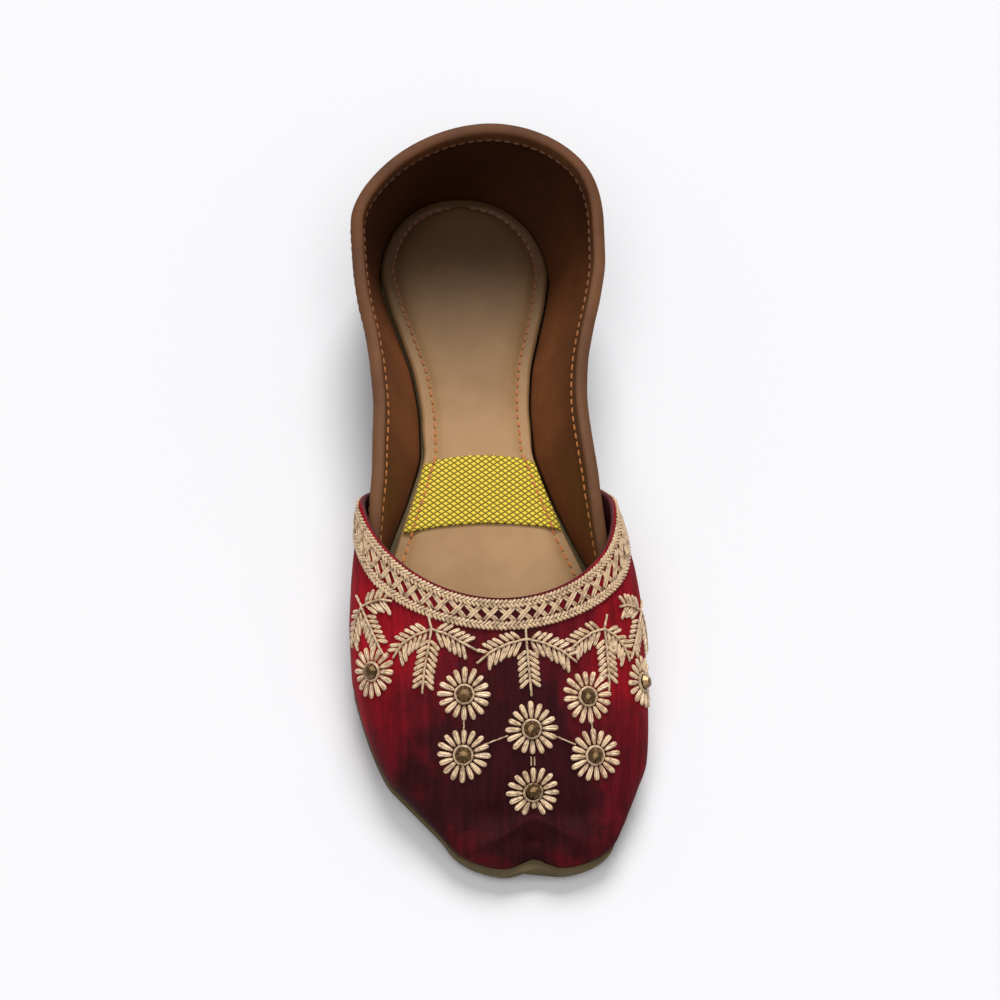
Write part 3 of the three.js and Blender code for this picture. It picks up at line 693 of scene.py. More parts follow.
# Painted shade towards the heel, standing in for the heel counter's shadow on the lining, binding, sock and
# orange stitches
heelShade = {
    "lining": dict(start=0.04, end=0.122, shadeTint=(0.3, 0.25, 0.2)),
    "binding": dict(start=0.04, end=0.122, shadeTint=(0.8, 0.7, 0.6)),
    "sock": dict(start=0.015, end=0.105, shadeTint=(0.16, 0.12, 0.09)),
    "stitch": dict(start=0.0, end=0.105, shadeTint=(0.22, 0.18, 0.16)),
}
materials = {
    "silk": silkMaterial("vamp_silk", silkLook),
    "cloth": silkMaterial("quarter_silk", clothLook),
    "inner": liningSilk(),
    "lining": leatherMaterial(
        "lining_leather", srgb(120, 70, 38), srgb(98, 57, 31), 0.6, paintedShade=heelShade["lining"]
    ),
    "binding": leatherMaterial(
        "binding_leather", srgb(110, 72, 45), srgb(90, 58, 36), 0.66, 0.00015, paintedShade=heelShade["binding"]
    ),
    "sock": leatherMaterial(
        "sock_leather", srgb(162, 127, 88), srgb(148, 114, 76), 0.6, 0.00012, paintedShade=heelShade["sock"]
    ),
    "sole": soleMaterial(),
    "gold": threadMaterial("gold_thread", srgb(255, 222, 178), srgb(122, 74, 44), 0.3, 6.0, 0.0004),
    "orange": threadMaterial(
        "orange_thread", srgb(224, 138, 60), srgb(176, 94, 36), 0.6, paintedShade=heelShade["stitch"]
    ),
    "braid": braidMaterial(),
}
print("materials made")


def finishPiece(piece, slotName, *replaced):
    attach(piece, "root")
    if replaced:
        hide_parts(*replaced)
    return piece


# Vamp: outer silk, a rolled free edge and an inner face one wall in
vampDetail = dict(across=170, along=130, rim=6, start=0.02, gather=0.8)


def vamp():
    across = np.linspace(0, 1, vampDetail["across"] + 1)
    end = throatAt(across, 0)
    v = np.linspace(0, 1, vampDetail["along"] + 1)[:, None]
    y = mix(toeRim + vampDetail["start"], end[None, :], mix(v, v * v, vampDetail["gather"]))
    shares = np.broadcast_to(across, y.shape)
    outer = vampFace(shares, y, 0.0)
    inner = vampFace(shares, y, -upperWall)[::-1]
    half = upperWall / 2
    angles = np.linspace(0, math.pi, vampDetail["rim"] + 2)[1:-1]
    rim = [vampFace(across, end + half * math.sin(a), -half * (1 - math.cos(a))) for a in angles]
    rows = np.concatenate([outer, rim, inner])
    count, columns = rows.shape[:2]
    faces = gridFaces(count, columns)
    kinds = [0 if k // (columns - 1) < len(outer) + 1 else 1 for k in range(len(faces))]
    for k in range(count // 2):
        left, right = k * columns, (count - 1 - k) * columns
        if k + 1 < count - 1 - k:
            faces.append([left, left + columns, right - columns, right])
            faces.append([left + 2 * columns - 1, left + columns - 1, right + columns - 1, right - 1])
            kinds += [0, 0]
    front, back = list(range(columns)), list(range((count - 1) * columns, count * columns))
    for a in range(columns - 1):
        faces.append([front[a + 1], front[a], back[a], back[a + 1]])
        kinds.append(0)
    looks = [materials["silk"], materials["inner"]]
    return finishPiece(makeMesh("vamp", rows.reshape(-1, 3), faces, looks, kinds), "silk", "upper")


# Quarters: maroon silk outside and brown leather inside
quarterDetail = dict(around=200, up=22)


def shell(name, outer, inner, looks, slotName, *replaced):
    rows, columns = outer.shape[:2]
    points = np.concatenate([outer.reshape(-1, 3), inner.reshape(-1, 3)])
    under = rows * columns
    faces = gridFaces(rows, columns)
    kinds = [0] * len(faces)
    back = [face[::-1] for face in gridFaces(rows, columns, start=under)]
    faces += back
    kinds += [1] * len(back)
    border = list(range(columns))
    border += [k * columns + columns - 1 for k in range(1, rows)]
    border += [(rows - 1) * columns + k for k in range(columns - 2, -1, -1)]
    border += [k * columns for k in range(rows - 2, 0, -1)]
    for here, following in zip(border, border[1:] + border[:1]):
        faces.append([following, here, here + under, following + under])
        kinds.append(0)
    return finishPiece(makeMesh(name, points, faces, looks, kinds), slotName, *replaced)


def quarters():
    around = np.linspace(1, 0, quarterDetail["around"] + 1)[None, :]
    up = np.linspace(0, 1, quarterDetail["up"] + 1)[:, None]
    return shell(
        "quarters", quarterFace(around, up, 0.0), quarterFace(around, up, -upperWall),
        [materials["cloth"], materials["lining"]], "lining_leather", "upper",
    )


# Topline binding: leather folded over the edge in a round U, and how far down and out its stitches sit
bindingDetail = dict(around=220, round=8, legRows=5, stitchRise=0.9, stitchLift=0.02)


def binding():
    around = np.linspace(0, 1, bindingDetail["around"] + 1)
    top = quarterBase(around, 1)
    drop = bindingDrop / (top[:, 2] - seatHeight(top[:, 1]))
    centre = -upperWall / 2
    legs = np.linspace(0, 1, bindingDetail["legRows"])

    def path(reach, lift):
        rows = [quarterFace(around, 1 - drop * (1 - part), centre - reach) for part in legs]
        for angle in np.linspace(math.pi, 0, bindingDetail["round"] + 2)[1:-1]:
            row = quarterFace(around, 1, centre + reach * math.cos(angle))
            row[:, 2] += lift * math.sin(angle)
            rows.append(row)
        rows += [quarterFace(around, 1 - drop * (1 - part), centre + reach) for part in legs[::-1]]
        return np.array(rows)

    outside = upperWall / 2 + seatGap + bindingThickness
    inside = upperWall / 2 + seatGap
    return shell(
        "topline_binding_fold", path(outside, seatGap + bindingThickness), path(inside, seatGap),
        [materials["binding"], materials["binding"]], "binding_leather", "topline_binding",
    )


# Sock: padded middle, a stitched groove inside its edge
sockDetail = dict(
    along=150, across=56, groove=0.7, grooveAt=3.5, grooveWidth=1.5, grooveFade=4, puff=0.7, puffRun=7,
    edgeShare=0.97, edgeRise=0.75,
)
insoleFront = toeRim + upperWall + insoleSetback
insoleBack = soleLength - insoleEndGap
crownRows = [(0, 1), (0.72, 0.75), (0.97, 0)]
squeezeRows = [(0.32, 0), (0.36, 1), (0.42, 1), (0.52, 0.3), (0.6, 0)]
# How much rows along sock and sole draw together at the ends
gather = 0.85


def gathered(count):
    t = np.linspace(0, 1, count + 1)[1:-1]
    return mix(t, 0.5 - 0.5 * np.cos(math.pi * t), gather)[:, None]


# Half width of the sock, or of a line inset all round from its edge
def insoleHalf(y, inset=0):
    squeeze = insoleSqueeze * read(squeezeRows, y / soleLength)
    within = inset + sideRim + upperWall + insoleGap + stepAt(y) + squeeze
    half = read(soleRows, y / soleLength) * read(taperRows, y / soleLength) - within
    toe = roundEnd(y - insoleFront - inset, toeTipLength, toePower)
    return half * toe * roundEnd(insoleBack - inset - y, insoleBack - inset - heelStart, heelPower)


def insoleTop(off, y):
    half = np.maximum(insoleHalf(y), 0.001)
    crown = insoleCrown * np.minimum(half / (waistWidth / 2), 1) * read(crownRows, np.abs(off) / half)
    return seatHeight(y) + insoleThickness + crown


def sock():
    detail = sockDetail
    y = mix(insoleFront, insoleBack, gathered(detail["along"]))
    half = insoleHalf(y)
    parts = np.sin(np.linspace(-1, 1, detail["across"] + 1) * math.pi / 2)[None, :] * detail["edgeShare"]
    off = half * parts
    line = insoleHalf(y, detail["grooveAt"])
    groove = detail["groove"] * bump(np.abs(off) - line, detail["grooveWidth"])
    depth = groove * ease(line / detail["grooveFade"])
    flat = bump(y - stripFront - stripDepth / 2, stripDepth)
    puff = detail["puff"] * (1 - flat) * ease((line - np.abs(off)) / detail["puffRun"])
    top = np.stack([middle(y) + off, y + 0 * off, insoleTop(off, y) - depth + puff], -1)
    floor = seatHeight(y)
    flare = np.minimum(half / insoleThickness, insoleFlare) * ease((y - vampFoot) / stepRun)
    edge = floor + insoleThickness * detail["edgeRise"]

    def side(x, z):
        return np.stack([middle(y) + x, y, z], -1)

    left, right = side(-half - flare, edge), side(half + flare, edge)
    rings = np.concatenate([side(-half, floor), side(half, floor), right, top[:, ::-1], left], 1)
    rings = notched(rings, upperNotch)
    piece = makeMesh("sock_pad", rings.reshape(-1, 3), tubeFaces(*rings.shape[:2]), [materials["sock"]])
    return finishPiece(piece, "sock_leather", "insole")


stripDetail = dict(across=41, along=25, edgeShare=0.97)


def strip():
    parts = np.linspace(-stripDetail["edgeShare"], stripDetail["edgeShare"], stripDetail["across"])[None, :]
    t = np.linspace(0, 1, stripDetail["along"])[:, None]
    y = stripFront + stripDepth * t + stripBow * (1 - parts**2)
    off = parts * insoleHalf(y)

    def face(lift):
        return np.stack([middle(y) + off, y, insoleTop(off, y) + lift], -1)

    return shell(
        "woven_strip", face(seatGap + stripThickness), face(seatGap),
        [materials["braid"], materials["braid"]], "yellow_weave", "insole_strip",
    )


# Sole: a finer copy of the solid with a softened edge
soleDetail = dict(along=180, edge=0.7, under=13, corner=4)


def sole():
    y = mix(-toeReach, soleLength, gathered(soleDetail["along"]))
    half = soleHalf(y, 0, -toeReach)
    edge = np.minimum(soleDetail["edge"], half / 2)
    ring = [(part * (half - edge), 0 * half) for part in np.linspace(-1, 1, soleDetail["under"])]
    for a in np.radians(np.linspace(-90, 0, soleDetail["corner"])[1:]):
        ring.append((half - edge + edge * math.cos(a), edge + edge * math.sin(a)))
    small = edge / 2
    for a in np.radians(np.linspace(0, 90, soleDetail["corner"])):
        ring.append((half - small + small * math.cos(a), soleThickness - small + small * math.sin(a)))
    right = ring[soleDetail["under"]:]
    ring += [(0 * half, soleThickness + 0 * half)] + [(-x, z) for x, z in right[::-1]]
    rings = np.stack([np.concatenate([middle(y) + x, y, soleUnder(y) + z], 1) for x, z in ring], 1)
    rings = notched(rings, soleNotch)
    piece = makeMesh("sole_leather", rings.reshape(-1, 3), tubeFaces(*rings.shape[:2]), [materials["sole"]])
    return finishPiece(piece, "sole_leather", "outsole")


def readAttribute(tree, kind, label):
    node = addNode(tree, "GeometryNodeInputNamedAttribute", {"data_type": kind}, Name=label)
    return out(node, "Attribute")


# Geometry Nodes: one stitch on every point, laid along its own direction and face
def stitchTree():
    tree, given, result = newGroup(
        "lay stitches",
        [
            ("Geometry", "NodeSocketGeometry", None),
            ("Taper", "NodeSocketFloat", 0.0),
            ("Jitter", "NodeSocketFloat", 0.08),
            ("Seed", "NodeSocketInt", 3),
            ("Segments", "NodeSocketInt", 8),
            ("Material", "NodeSocketMaterial", None),
        ],
        [("Geometry", "NodeSocketGeometry")],
        "GeometryNodeTree",
    )
    ball = addNode(tree, "GeometryNodeMeshUVSphere", Segments=given.outputs["Segments"], Rings=7, Radius=1.0)
    mapped = addNode(
        tree, "GeometryNodeStoreNamedAttribute", {"data_type": "FLOAT2", "domain": "CORNER"},
        Geometry=ball.outputs["Mesh"], Name="strand", Value=ball.outputs["UV Map"],
    )
    turned = addNode(tree, "GeometryNodeTransform", Geometry=out(mapped), Rotation=(0.0, math.pi / 2, 0.0))
    x, y, z = split(tree, out(tree.nodes.new("GeometryNodeInputPosition")))
    swell = mathNode(tree, "SQRT", plus(tree, times(tree, x, x), 1.0))
    swell = times(tree, swell, plus(tree, times(tree, x, given.outputs["Taper"]), 1.0))
    rod = addNode(tree, "ShaderNodeCombineXYZ", X=x, Y=times(tree, y, swell), Z=times(tree, z, swell))
    stitch = addNode(tree, "GeometryNodeSetPosition", Geometry=out(turned), Position=out(rod))
    along, up, size = [readAttribute(tree, "FLOAT_VECTOR", label) for label in ("along", "up", "size")]
    first = addNode(tree, "FunctionNodeAlignRotationToVector", {"axis": "X"}, Vector=along)
    second = addNode(
        tree, "FunctionNodeAlignRotationToVector", {"axis": "Z", "pivot_axis": "X"},
        Rotation=out(first), Vector=up,
    )
    less = mathNode(tree, "SUBTRACT", 1.0, given.outputs["Jitter"])
    more = plus(tree, 1.0, given.outputs["Jitter"])
    uneven = addNode(
        tree, "FunctionNodeRandomValue", {"data_type": "FLOAT"}, Min=less, Max=more, Seed=given.outputs["Seed"]
    )
    scale = addNode(tree, "ShaderNodeVectorMath", {"operation": "SCALE"}, Vector=size, Scale=out(uneven))
    copies = addNode(
        tree, "GeometryNodeInstanceOnPoints", Points=given.outputs["Geometry"], Instance=out(stitch),
        Rotation=out(second), Scale=out(scale),
    )
    return softened(tree, given, result, copies)


# Turns the copies to plain faces, smooth and in the given material
def softened(tree, given, result, copies):
    real = addNode(tree, "GeometryNodeRealizeInstances", Geometry=out(copies))
    soft = addNode(tree, "GeometryNodeSetShadeSmooth", Geometry=out(real))
    painted = addNode(tree, "GeometryNodeSetMaterial", Geometry=out(soft), Material=given.outputs["Material"])
    return finishGroup(tree, result, out(painted))


# Geometry Nodes: a round thread along every line of edges
def threadTree():
    tree, given, result = newGroup(
        "thread path",
        [
            ("Geometry", "NodeSocketGeometry", None),
            ("Radius", "NodeSocketFloat", 0.0004),
            ("Sides", "NodeSocketInt", 7),
            ("Twist", "NodeSocketFloat", 500.0),
            ("Material", "NodeSocketMaterial", None),
        ],
        [("Geometry", "NodeSocketGeometry")],
        "GeometryNodeTree",
    )
    line = addNode(tree, "GeometryNodeMeshToCurve", Mesh=given.outputs["Geometry"])
    ring = addNode(
        tree, "GeometryNodeCurvePrimitiveCircle",
        Resolution=given.outputs["Sides"], Radius=given.outputs["Radius"],
    )
    spline = tree.nodes.new("GeometryNodeSplineParameter")

    def stored(curve, label, value):
        return out(addNode(
            tree, "GeometryNodeStoreNamedAttribute", {"data_type": "FLOAT", "domain": "POINT"},
            Geometry=curve, Name=label, Value=out(spline, value),
        ))

    lengths = stored(out(line), "run", "Length")
    rounds = stored(out(ring, "Curve"), "round", "Factor")
    tube = addNode(tree, "GeometryNodeCurveToMesh", Curve=lengths, Profile_Curve=rounds, Fill_Caps=True)
    run, across = [readAttribute(tree, "FLOAT", label) for label in ("run", "round")]
    pair = addNode(tree, "ShaderNodeCombineXYZ", X=across, Y=times(tree, run, given.outputs["Twist"]))
    tube = addNode(
        tree, "GeometryNodeStoreNamedAttribute", {"data_type": "FLOAT2", "domain": "CORNER"},
        Geometry=out(tube), Name="strand", Value=out(pair),
    )
    return softened(tree, given, result, tube)


trees = {"stitches": stitchTree(), "threads": threadTree()}


# Runs a tree on a guide mesh and keeps the result as a plain mesh
def grown(name, guide, tree, **values):
    modifier = guide.modifiers.new("made", "NODES")
    modifier.node_group = tree
    sockets = {item.name: item.identifier for item in tree.interface.items_tree if item.in_out == "INPUT"}
    for label, value in values.items():
        modifier[sockets[label]] = value
    guide.update_tag()
    graph = bpy.context.evaluated_depsgraph_get()
    mesh = bpy.data.meshes.new_from_object(guide.evaluated_get(graph))
    mesh.name = name
    bpy.data.objects.remove(guide)
    piece = bpy.data.objects.new(name, mesh)
    bpy.context.scene.collection.objects.link(piece)
    return piece


# Points, directions, faces' normals and half sizes of stitches, each a row
def layStitches(name, stitches, material, seed, taper=0.0):
    guide = makeMesh(name + "_points", np.array([s[0] for s in stitches]), [], [])
    for label, column, scale in (("along", 1, 1.0), ("up", 2, 1.0), ("size", 3, 0.001)):
        attribute = guide.data.attributes.new(label, "FLOAT_VECTOR", "POINT")
        values = np.array([s[column] for s in stitches], float) * scale
        attribute.data.foreach_set("vector", values.ravel())
    return grown(
        name, guide, trees["stitches"], Taper=taper, Jitter=0.06, Seed=seed, Segments=8, Material=material
    )


def layThreads(name, lines, radius, material):
    points, edges = [], []
    for line in lines:
        start = len(points)
        points += list(line)
        edges += [(start + i, start + i + 1) for i in range(len(line) - 1)]
    guide = makeMesh(name + "_lines", np.array(points), [], [], edges=edges)
    return grown(name, guide, trees["threads"], Radius=radius * 0.001, Sides=7, Material=material)


# The share across and the y of the vamp's point nearest to a place
search = dict(
    rounds=6, across=0.002, y=0.1, acrossLeap=0.06, yLeap=8, shares=(0.01, 0.99), front=2, seatRounds=30,
)


def nearest(point, across, y):
    dAcross, dY = search["across"], search["y"]
    most = np.array([search["acrossLeap"], search["yLeap"]])
    for _ in range(search["rounds"]):
        here = vampBase(across, y)
        acrossWay = (vampBase(across + dAcross, y) - vampBase(across - dAcross, y)) / (2 * dAcross)
        alongWay = (vampBase(across, y + dY) - vampBase(across, y - dY)) / (2 * dY)
        system = np.stack([acrossWay, alongWay], -1)
        step = np.linalg.lstsq(system, point - here, rcond=None)[0]
        leaps = np.clip(step, -most, most)
        across = float(np.clip(across + leaps[0], *search["shares"]))
        y = float(np.clip(y + leaps[1], search["front"], vampFoot))
    return across, y


# Share across at a sideways place on the vamp
def seat(x, y):
    low, high = 0.02, 0.98
    for _ in range(search["seatRounds"]):
        half = (low + high) / 2
        if vampBase(half, y)[0] < x:
            low = half
        else:
            high = half
    return low, y


# A flat local map on the vamp: sideways and down towards the toe from a seat, turned by an angle
class Patch:
    def __init__(self, x, y, turn=0.0):
        self.across, self.y = seat(x, y)
        self.centre = vampBase(self.across, self.y)
        self.normal = normalOf(np.array(self.across), np.array(self.y))
        side = np.cross([0, 1, 0], self.normal)
        side /= np.linalg.norm(side)
        down = np.cross(side, self.normal)
        angle = math.radians(turn)
        self.side = side * math.cos(angle) + down * math.sin(angle)
        self.down = down * math.cos(angle) - side * math.sin(angle)

    def at(self, across, down, lift=0.0):
        spot = self.centre + self.side * across + self.down * down
        share, y = nearest(spot, self.across, self.y)
        normal = normalOf(np.array(share), np.array(y))
        return vampBase(share, y) + normal * lift, normal

    # A stitch between two places on the map
    def stitch(self, start, end, width, height, lift=0.25):
        first, firstNormal = self.at(*start, lift)
        last, lastNormal = self.at(*end, lift)
        along = last - first
        length = np.linalg.norm(along)
        normal = firstNormal + lastNormal
        size = (length / 2, width / 2, height / 2)
        return (first + last) / 2, along / length, normal / np.linalg.norm(normal), size


# Collar band: two braided borders and a lattice between them, on the vamp along its free edge
bandDetail = dict(
    edgeIn=1.3, ropeWidth=2.5, ropeStep=1.3, ropeOff=0.24, ropeLift=0.45, ropeStagger=0.35,
    stitchLength=2.2, stitchWidth=0.88, stitchHeight=1.0, lean=40,
    latticeStep=4.9, latticeIn=0.1, latticeLean=0.42, latticeLifts=(0.35, 0.75),
    legWidth=0.8, legHeight=0.8, legApart=0.36, legOver=0.2, ends=0.014,
)


# Lengths run along a line at its points, and evenly spaced lengths on it
def runAlong(points):
    return np.concatenate([[0], np.cumsum(np.linalg.norm(np.diff(points, axis=0), axis=1))])


def spaced(run, count):
    return (np.arange(count) + 0.5) * run[-1] / count


# Evenly spaced places along the band at a distance in from the free edge
def bandLine(inward, step):
    across = np.linspace(bandDetail["ends"], 1 - bandDetail["ends"], 700)
    y = throatAt(across, inward)
    run = runAlong(vampBase(across, y))
    wanted = spaced(run, int(run[-1] / step))
    return np.interp(wanted, run, across), np.interp(wanted, run, y)


def bandFrames(across, y):
    points = vampBase(across, y)
    along = np.gradient(points, axis=0)
    along /= np.linalg.norm(along, axis=1, keepdims=True)
    up = normalOf(across, y)
    inward = np.cross(up, along)
    return points, along, up, inward


def collarBand():
    stitches = []
    angle = math.radians(bandDetail["lean"])
    size = (bandDetail["stitchLength"] / 2, bandDetail["stitchWidth"] / 2, bandDetail["stitchHeight"] / 2)
    for inward in (bandDetail["edgeIn"], bandWidth - bandDetail["ropeWidth"] / 2):
        points, along, up, aside = bandFrames(*bandLine(inward, bandDetail["ropeStep"]))
        for sign in (-1, 1):
            shift = along * (0.0 if sign < 0 else bandDetail["ropeStagger"])
            off = aside * sign * bandDetail["ropeWidth"] * bandDetail["ropeOff"]
            centre = points + off + up * bandDetail["ropeLift"] + shift
            way = along * math.cos(angle) + aside * sign * math.sin(angle)
            stitches += [(p, d, n, size) for p, d, n in zip(centre, way, up)]
    finishPiece(layStitches("band_ropes", stitches, materials["gold"], 5), "gold_thread", "vamp_band")


def lattice():
    stitches = []
    low = bandWidth - bandDetail["ropeWidth"] - bandDetail["latticeIn"]
    high = bandDetail["edgeIn"] + bandDetail["ropeWidth"] / 2 + bandDetail["latticeIn"]
    lowAcross, lowY = bandLine(low, bandDetail["latticeStep"])
    highAcross, highY = bandLine(high, 1)
    count = len(lowAcross)
    shares = (np.arange(count) + 0.5) / count
    highShares = (np.arange(len(highAcross)) + 0.5) / len(highAcross)
    for sign, lift in zip((-1, 1), bandDetail["latticeLifts"]):
        offset = sign * bandDetail["latticeLean"] / count
        endAcross = np.interp(shares + offset, highShares, highAcross)
        endY = np.interp(shares + offset, highShares, highY)
        startAcross = np.interp(shares - offset, shares, lowAcross)
        startY = np.interp(shares - offset, shares, lowY)
        start, end = vampFace(startAcross, startY, lift), vampFace(endAcross, endY, lift)
        up = normalOf((startAcross + endAcross) / 2, (startY + endY) / 2)
        along = end - start
        lengths = np.linalg.norm(along, axis=1, keepdims=True)
        along /= lengths
        aside = np.cross(up, along)
        for strand in (-1, 1):
            centre = (start + end) / 2 + aside * strand * bandDetail["legApart"]
            leg = (bandDetail["legWidth"] / 2, bandDetail["legHeight"] / 2)
            stitches += [
                (p, d, n, (s[0] / 2 + bandDetail["legOver"], *leg))
                for p, d, n, s in zip(centre, along, up, lengths)
            ]
    finishPiece(layStitches("band_lattice", stitches, materials["gold"], 9), "gold_thread", "vamp_band")


# Flowers: sixteen petals round a bead, places along from the toe and off the middle in shares of the sizes
flowerRows = [
    (0.084, 0.067), (0.127, -0.163), (0.123, 0.277), (0.152, 0.065),
    (0.195, -0.154), (0.19, 0.259), (0.241, -0.447), (0.222, 0.466),
]
flowerDetail = dict(
    petals=16, inner=3.2, outer=8.0, uneven=0.05, turn=7.0, width=1.6, height=1.1,
    ring=2.75, ringThread=0.3, ringLifts=(0.25, 0.55), ringPoints=25,
)
# Thin threads between flowers, as numbers in the table with a sideways offset in millimetres
linkRows = [(4, 1, 0), (5, 2, 0), (3, 1, -0.5), (3, 2, 0.5), (3, 0, -0.5), (3, 0, 0.5)]
linkDetail = dict(thread=0.24, clear=7.4, endShare=0.9, points=9, lift=0.3)


def flowers():
    petals, rings, links = [], [], []
    detail = flowerDetail
    for number, (along, off) in enumerate(flowerRows):
        patch = Patch(off * vampWidth, along * soleLength, detail["turn"] * number)
        for i in range(detail["petals"]):
            angle = 2 * math.pi * i / detail["petals"]
            way = np.array([math.cos(angle), math.sin(angle)])
            outer = detail["outer"] * (1 + detail["uneven"] * math.sin(5 * i + number))
            petals.append(patch.stitch(way * detail["inner"], way * outer, detail["width"], detail["height"]))
        for lift in detail["ringLifts"]:
            reach = detail["ring"] + 0.25 - lift * 0.6
            angles = np.linspace(0, 2 * math.pi, detail["ringPoints"])
            rings.append([patch.at(reach * math.cos(a), reach * math.sin(a), lift)[0] for a in angles])
    for first, second, aside in linkRows:
        start, end = (
            np.array([flowerRows[n][1] * vampWidth, flowerRows[n][0] * soleLength]) for n in (first, second)
        )
        way = (end - start) / np.linalg.norm(end - start)
        clear = way * linkDetail["clear"]
        start, end = start + clear, end - clear * linkDetail["endShare"]
        shift = np.array([-way[1], way[0]]) * aside
        spots = [mix(start, end, t) + shift for t in np.linspace(0, 1, linkDetail["points"])]
        links.append([vampFace(seat(*spot)[0], spot[1], linkDetail["lift"]) for spot in spots])
    finishPiece(layThreads("flower_links", links, linkDetail["thread"], materials["gold"]), "gold_thread")
    finishPiece(layStitches("flower_petals", petals, materials["gold"], 2, 0.22), "gold_thread")
    finishPiece(layThreads("flower_rings", rings, detail["ringThread"], materials["gold"]), "gold_thread")


# Sprigs: three fern branches each, as lines on a local map from the fork, sideways and down
sprigRows = [
    dict(
        x=5.1, y=61.8, turn=0, left=[(-5.3, 1.2), (-10.6, 3.5), (-15, 7)],
        right=[(5.3, 1.2), (10.6, 3.5), (15.5, 7)], down=[(0.4, 6), (0.8, 12), (1.2, 17)],
    ),
    dict(
        x=-23, y=66.3, turn=-6, left=[(-5, 0.6), (-9.5, 2), (-13.5, 5.5)],
        right=[(4, 2.4), (8, 6), (11.5, 9)], down=[(-2.4, 6), (-4.8, 11.5), (-7, 18)],
    ),
    dict(
        x=29.6, y=66, turn=10, left=[(-3.6, 2.2), (-7, 6), (-9.5, 9.5)],
        right=[(4, 0.8), (8, 3), (11.5, 6.5)], down=[(2.2, 6), (4.4, 12), (6, 18)],
    ),
    dict(
        x=-42.5, y=78, turn=-20, left=[(-4, 1), (-8, 3), (-12, 6)],
        right=[(3.6, 1.2), (7, 3), (10, 6)], down=[(-0.8, 6), (-1.6, 12), (-2, 17)],
    ),
    dict(
        x=42.7, y=75.1, turn=20, left=[(-3.6, 1.2), (-7, 3), (-10, 6)],
        right=[(4, 1), (8, 3), (12, 6)], down=[(0.8, 6), (1.6, 12), (2, 17)],
    ),
]
sprigDetail = dict(
    step=1.75, leaf=4.3, underLeaf=5.5, width=1.2, height=0.95, angle=50, stem=0.38, rise=4.6, overlap=5,
    leafStart=dict(left=1.4, right=1.4, down=3.2), leafEnd=0.8, under=0.35,
)


def alongLine(line, spacing, start, stop):
    line = np.array(line, float)
    run = runAlong(line)
    wanted = np.arange(start, stop * run[-1], spacing)

    def spotsAt(lengths):
        return np.stack([np.interp(lengths, run, line[:, 0]), np.interp(lengths, run, line[:, 1])], 1)

    spots = spotsAt(wanted)
    ways = spotsAt(wanted + 0.3) - spots
    return spots, ways / np.maximum(np.linalg.norm(ways, axis=1, keepdims=True), 1e-6)


def sprigs():
    leaves, stems = [], []
    detail = sprigDetail
    for row in sprigRows:
        patch = Patch(row["x"], row["y"], row["turn"])
        stems.append([patch.at(0, d, 0.5)[0] for d in np.linspace(-detail["rise"], 0, detail["overlap"])])
        for label in ("left", "right", "down"):
            line = [(0, 0)] + row[label]
            spots, _ = alongLine(line, 1.0, 0, 1.0)
            stems.append([patch.at(s[0], s[1], 0.7)[0] for s in spots] + [patch.at(*line[-1], 0.3)[0]])
            spots, ways = alongLine(line, detail["step"], detail["leafStart"][label], detail["leafEnd"])
            for spot, (x, y) in zip(spots, ways):
                for turn in (-math.radians(detail["angle"]), math.radians(detail["angle"])):
                    cosine, sine = math.cos(turn), math.sin(turn)
                    leaf = np.array([x * cosine - y * sine, x * sine + y * cosine])
                    under = leaf[1] > detail["under"] and label != "down"
                    tip = spot + leaf * (detail["underLeaf"] if under else detail["leaf"])
                    leaves.append(patch.stitch(spot + leaf * 0.3, tip, detail["width"], detail["height"], 0.3))
    finishPiece(layStitches("sprig_leaves", leaves, materials["gold"], 4, 0.1), "gold_thread")
    finishPiece(layThreads("sprig_stems", stems, detail["stem"], materials["gold"]), "gold_thread")


# Running stitches: on the sock inside its edge, and on the binding
runDetail = dict(step=3.0, length=2.3, width=0.85, height=0.7, front=14, overlap=0.6, stripLift=0.1, lift=0.2)


def runningStitches(lines, name):
    size = (runDetail["length"] / 2, runDetail["width"] / 2, runDetail["height"] / 2)
    stitches = []
    for points, ups in lines:
        run = runAlong(points)
        wanted = spaced(run, max(int(run[-1] / runDetail["step"]), 2))
        at, up = [np.stack([np.interp(wanted, run, rows[:, i]) for i in range(3)], 1) for rows in (points, ups)]
        way = np.gradient(at, axis=0)
        way /= np.linalg.norm(way, axis=1, keepdims=True)
        stitches += [(p, d, n, size) for p, d, n in zip(at, way, up)]
    finishPiece(layStitches(name, stitches, materials["orange"], 7), "orange_thread")


def sockStitches():
    inset = sockDetail["grooveAt"]
    t = np.linspace(0, 1, 400)
    y = mix(insoleFront + runDetail["front"], insoleBack - inset, np.sin(t * math.pi / 2))
    half = insoleHalf(y, inset)
    x = np.concatenate([middle(y) - half, (middle(y) + half)[::-1]])
    y = np.concatenate([y, y[::-1]])
    off = x - middle(y)
    edge = stripFront + stripBow * (1 - (off / insoleHalf(y)) ** 2)
    onStrip = (y > edge - runDetail["overlap"]) & (y < edge + stripDepth + runDetail["overlap"])
    overStrip = seatGap + stripThickness + runDetail["stripLift"]
    z = insoleTop(off, y) + np.where(onStrip, overStrip, runDetail["lift"] - sockDetail["groove"])
    runningStitches([(np.stack([x, y, z], 1), np.tile([0, 0, 1.0], (len(y), 1)))], "sock_stitches")


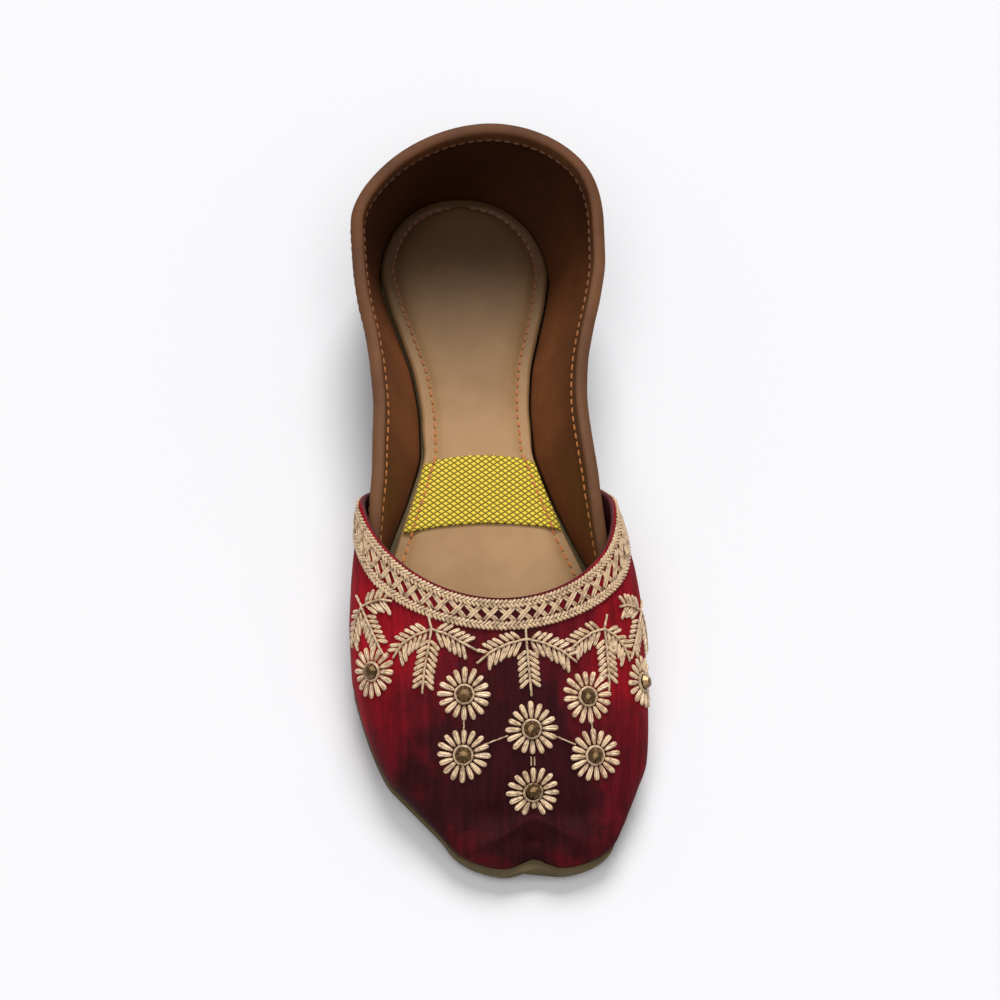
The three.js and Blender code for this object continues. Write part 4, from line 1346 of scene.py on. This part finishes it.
def bindingStitches():
    around = np.linspace(0.01, 0.99, 500)
    top = quarterBase(around, 1)
    drop = (bindingDrop - bindingDetail["stitchRise"]) / (top[:, 2] - seatHeight(top[:, 1]))
    away = seatGap + bindingThickness + bindingDetail["stitchLift"]
    lines = []
    for distance, sign in ((-upperWall - away, -1), (away, 1)):
        points = quarterFace(around, 1 - drop, distance)
        lines.append((points, quarterFace(around, 1 - drop, distance + sign) - points))
    runningStitches(lines, "binding_stitches")


vamp()
quarters()
binding()
sock()
strip()
sole()
print("shells made")
collarBand()
lattice()
flowers()
sprigs()
sockStitches()
bindingStitches()
print("stitches made")

# Beads keep their solids
beadLook = dict(colour=srgb(112, 88, 58), roughness=0.22, metallic=0.75)
beadMaterial, _, beadShader, _ = startMaterial("bead_bronze", None, beadLook["roughness"], beadLook["metallic"])
beadShader.inputs["Base Color"].default_value = beadLook["colour"]
for name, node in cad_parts.items():
    if name.startswith("bead"):
        node.data.materials.clear()
        node.data.materials.append(beadMaterial)

# Stage: pale floor, soft lights, and the photo's camera
stageLook = dict(floor=srgb(217, 217, 219), size=6, drop=0.0002, world=0.2, top=1.7, back=2.75)
floorMaterial, _, floorShader, _ = startMaterial("floor_paper", None, 0.9)
floorShader.inputs["Base Color"].default_value = stageLook["floor"]
bpy.ops.mesh.primitive_plane_add(size=stageLook["size"], location=(0, 0, -stageLook["drop"]))
floor = bpy.context.object
floor.name = "floor"
floor.data.materials.append(floorMaterial)


# A soft light from far off in a direction, its spread in radians
def addLight(name, spot, strength, spread):
    light = bpy.data.lights.new(name, "SUN")
    light.energy = strength
    light.angle = spread
    lamp = bpy.data.objects.new(name, light)
    lamp.rotation_euler = Vector(spot).to_track_quat("Z", "Y").to_euler()
    bpy.context.scene.collection.objects.link(lamp)


addLight("back", (0.06, 0.85, 0.95), stageLook["back"], 0.5)
addLight("top", (-0.15, -0.4, 1.4), stageLook["top"], 1.0)
world = bpy.context.scene.world or bpy.data.worlds.new("studio")
bpy.context.scene.world = world
world.use_nodes = True
world.node_tree.nodes["Background"].inputs[0].default_value = (1, 1, 1, 1)
world.node_tree.nodes["Background"].inputs[1].default_value = stageLook["world"]
bpy.context.scene.view_settings.view_transform = "Standard"

# Camera: the centre and axes solved from the photo, in the part's frame
cameraLook = dict(
    centre=(-117.2, -303.4, 855.4), right=(0.9915, -0.0777, 0.1042), down=(-0.0223, -0.8912, -0.4531),
    forward=(0.1281, 0.4470, -0.8853), lens=108,
)
cameraData = bpy.data.cameras.new("camera")
cameraData.lens = cameraLook["lens"]
cameraData.sensor_width = 36
cameraData.clip_end = 20
camera = bpy.data.objects.new("camera", cameraData)
turn = np.array([cameraLook["right"], -np.array(cameraLook["down"]), -np.array(cameraLook["forward"])]).T
camera.matrix_world = Matrix.Translation(place(cameraLook["centre"])) @ Matrix(turn.tolist()).to_4x4()
bpy.context.scene.collection.objects.link(camera)
bpy.context.scene.camera = camera
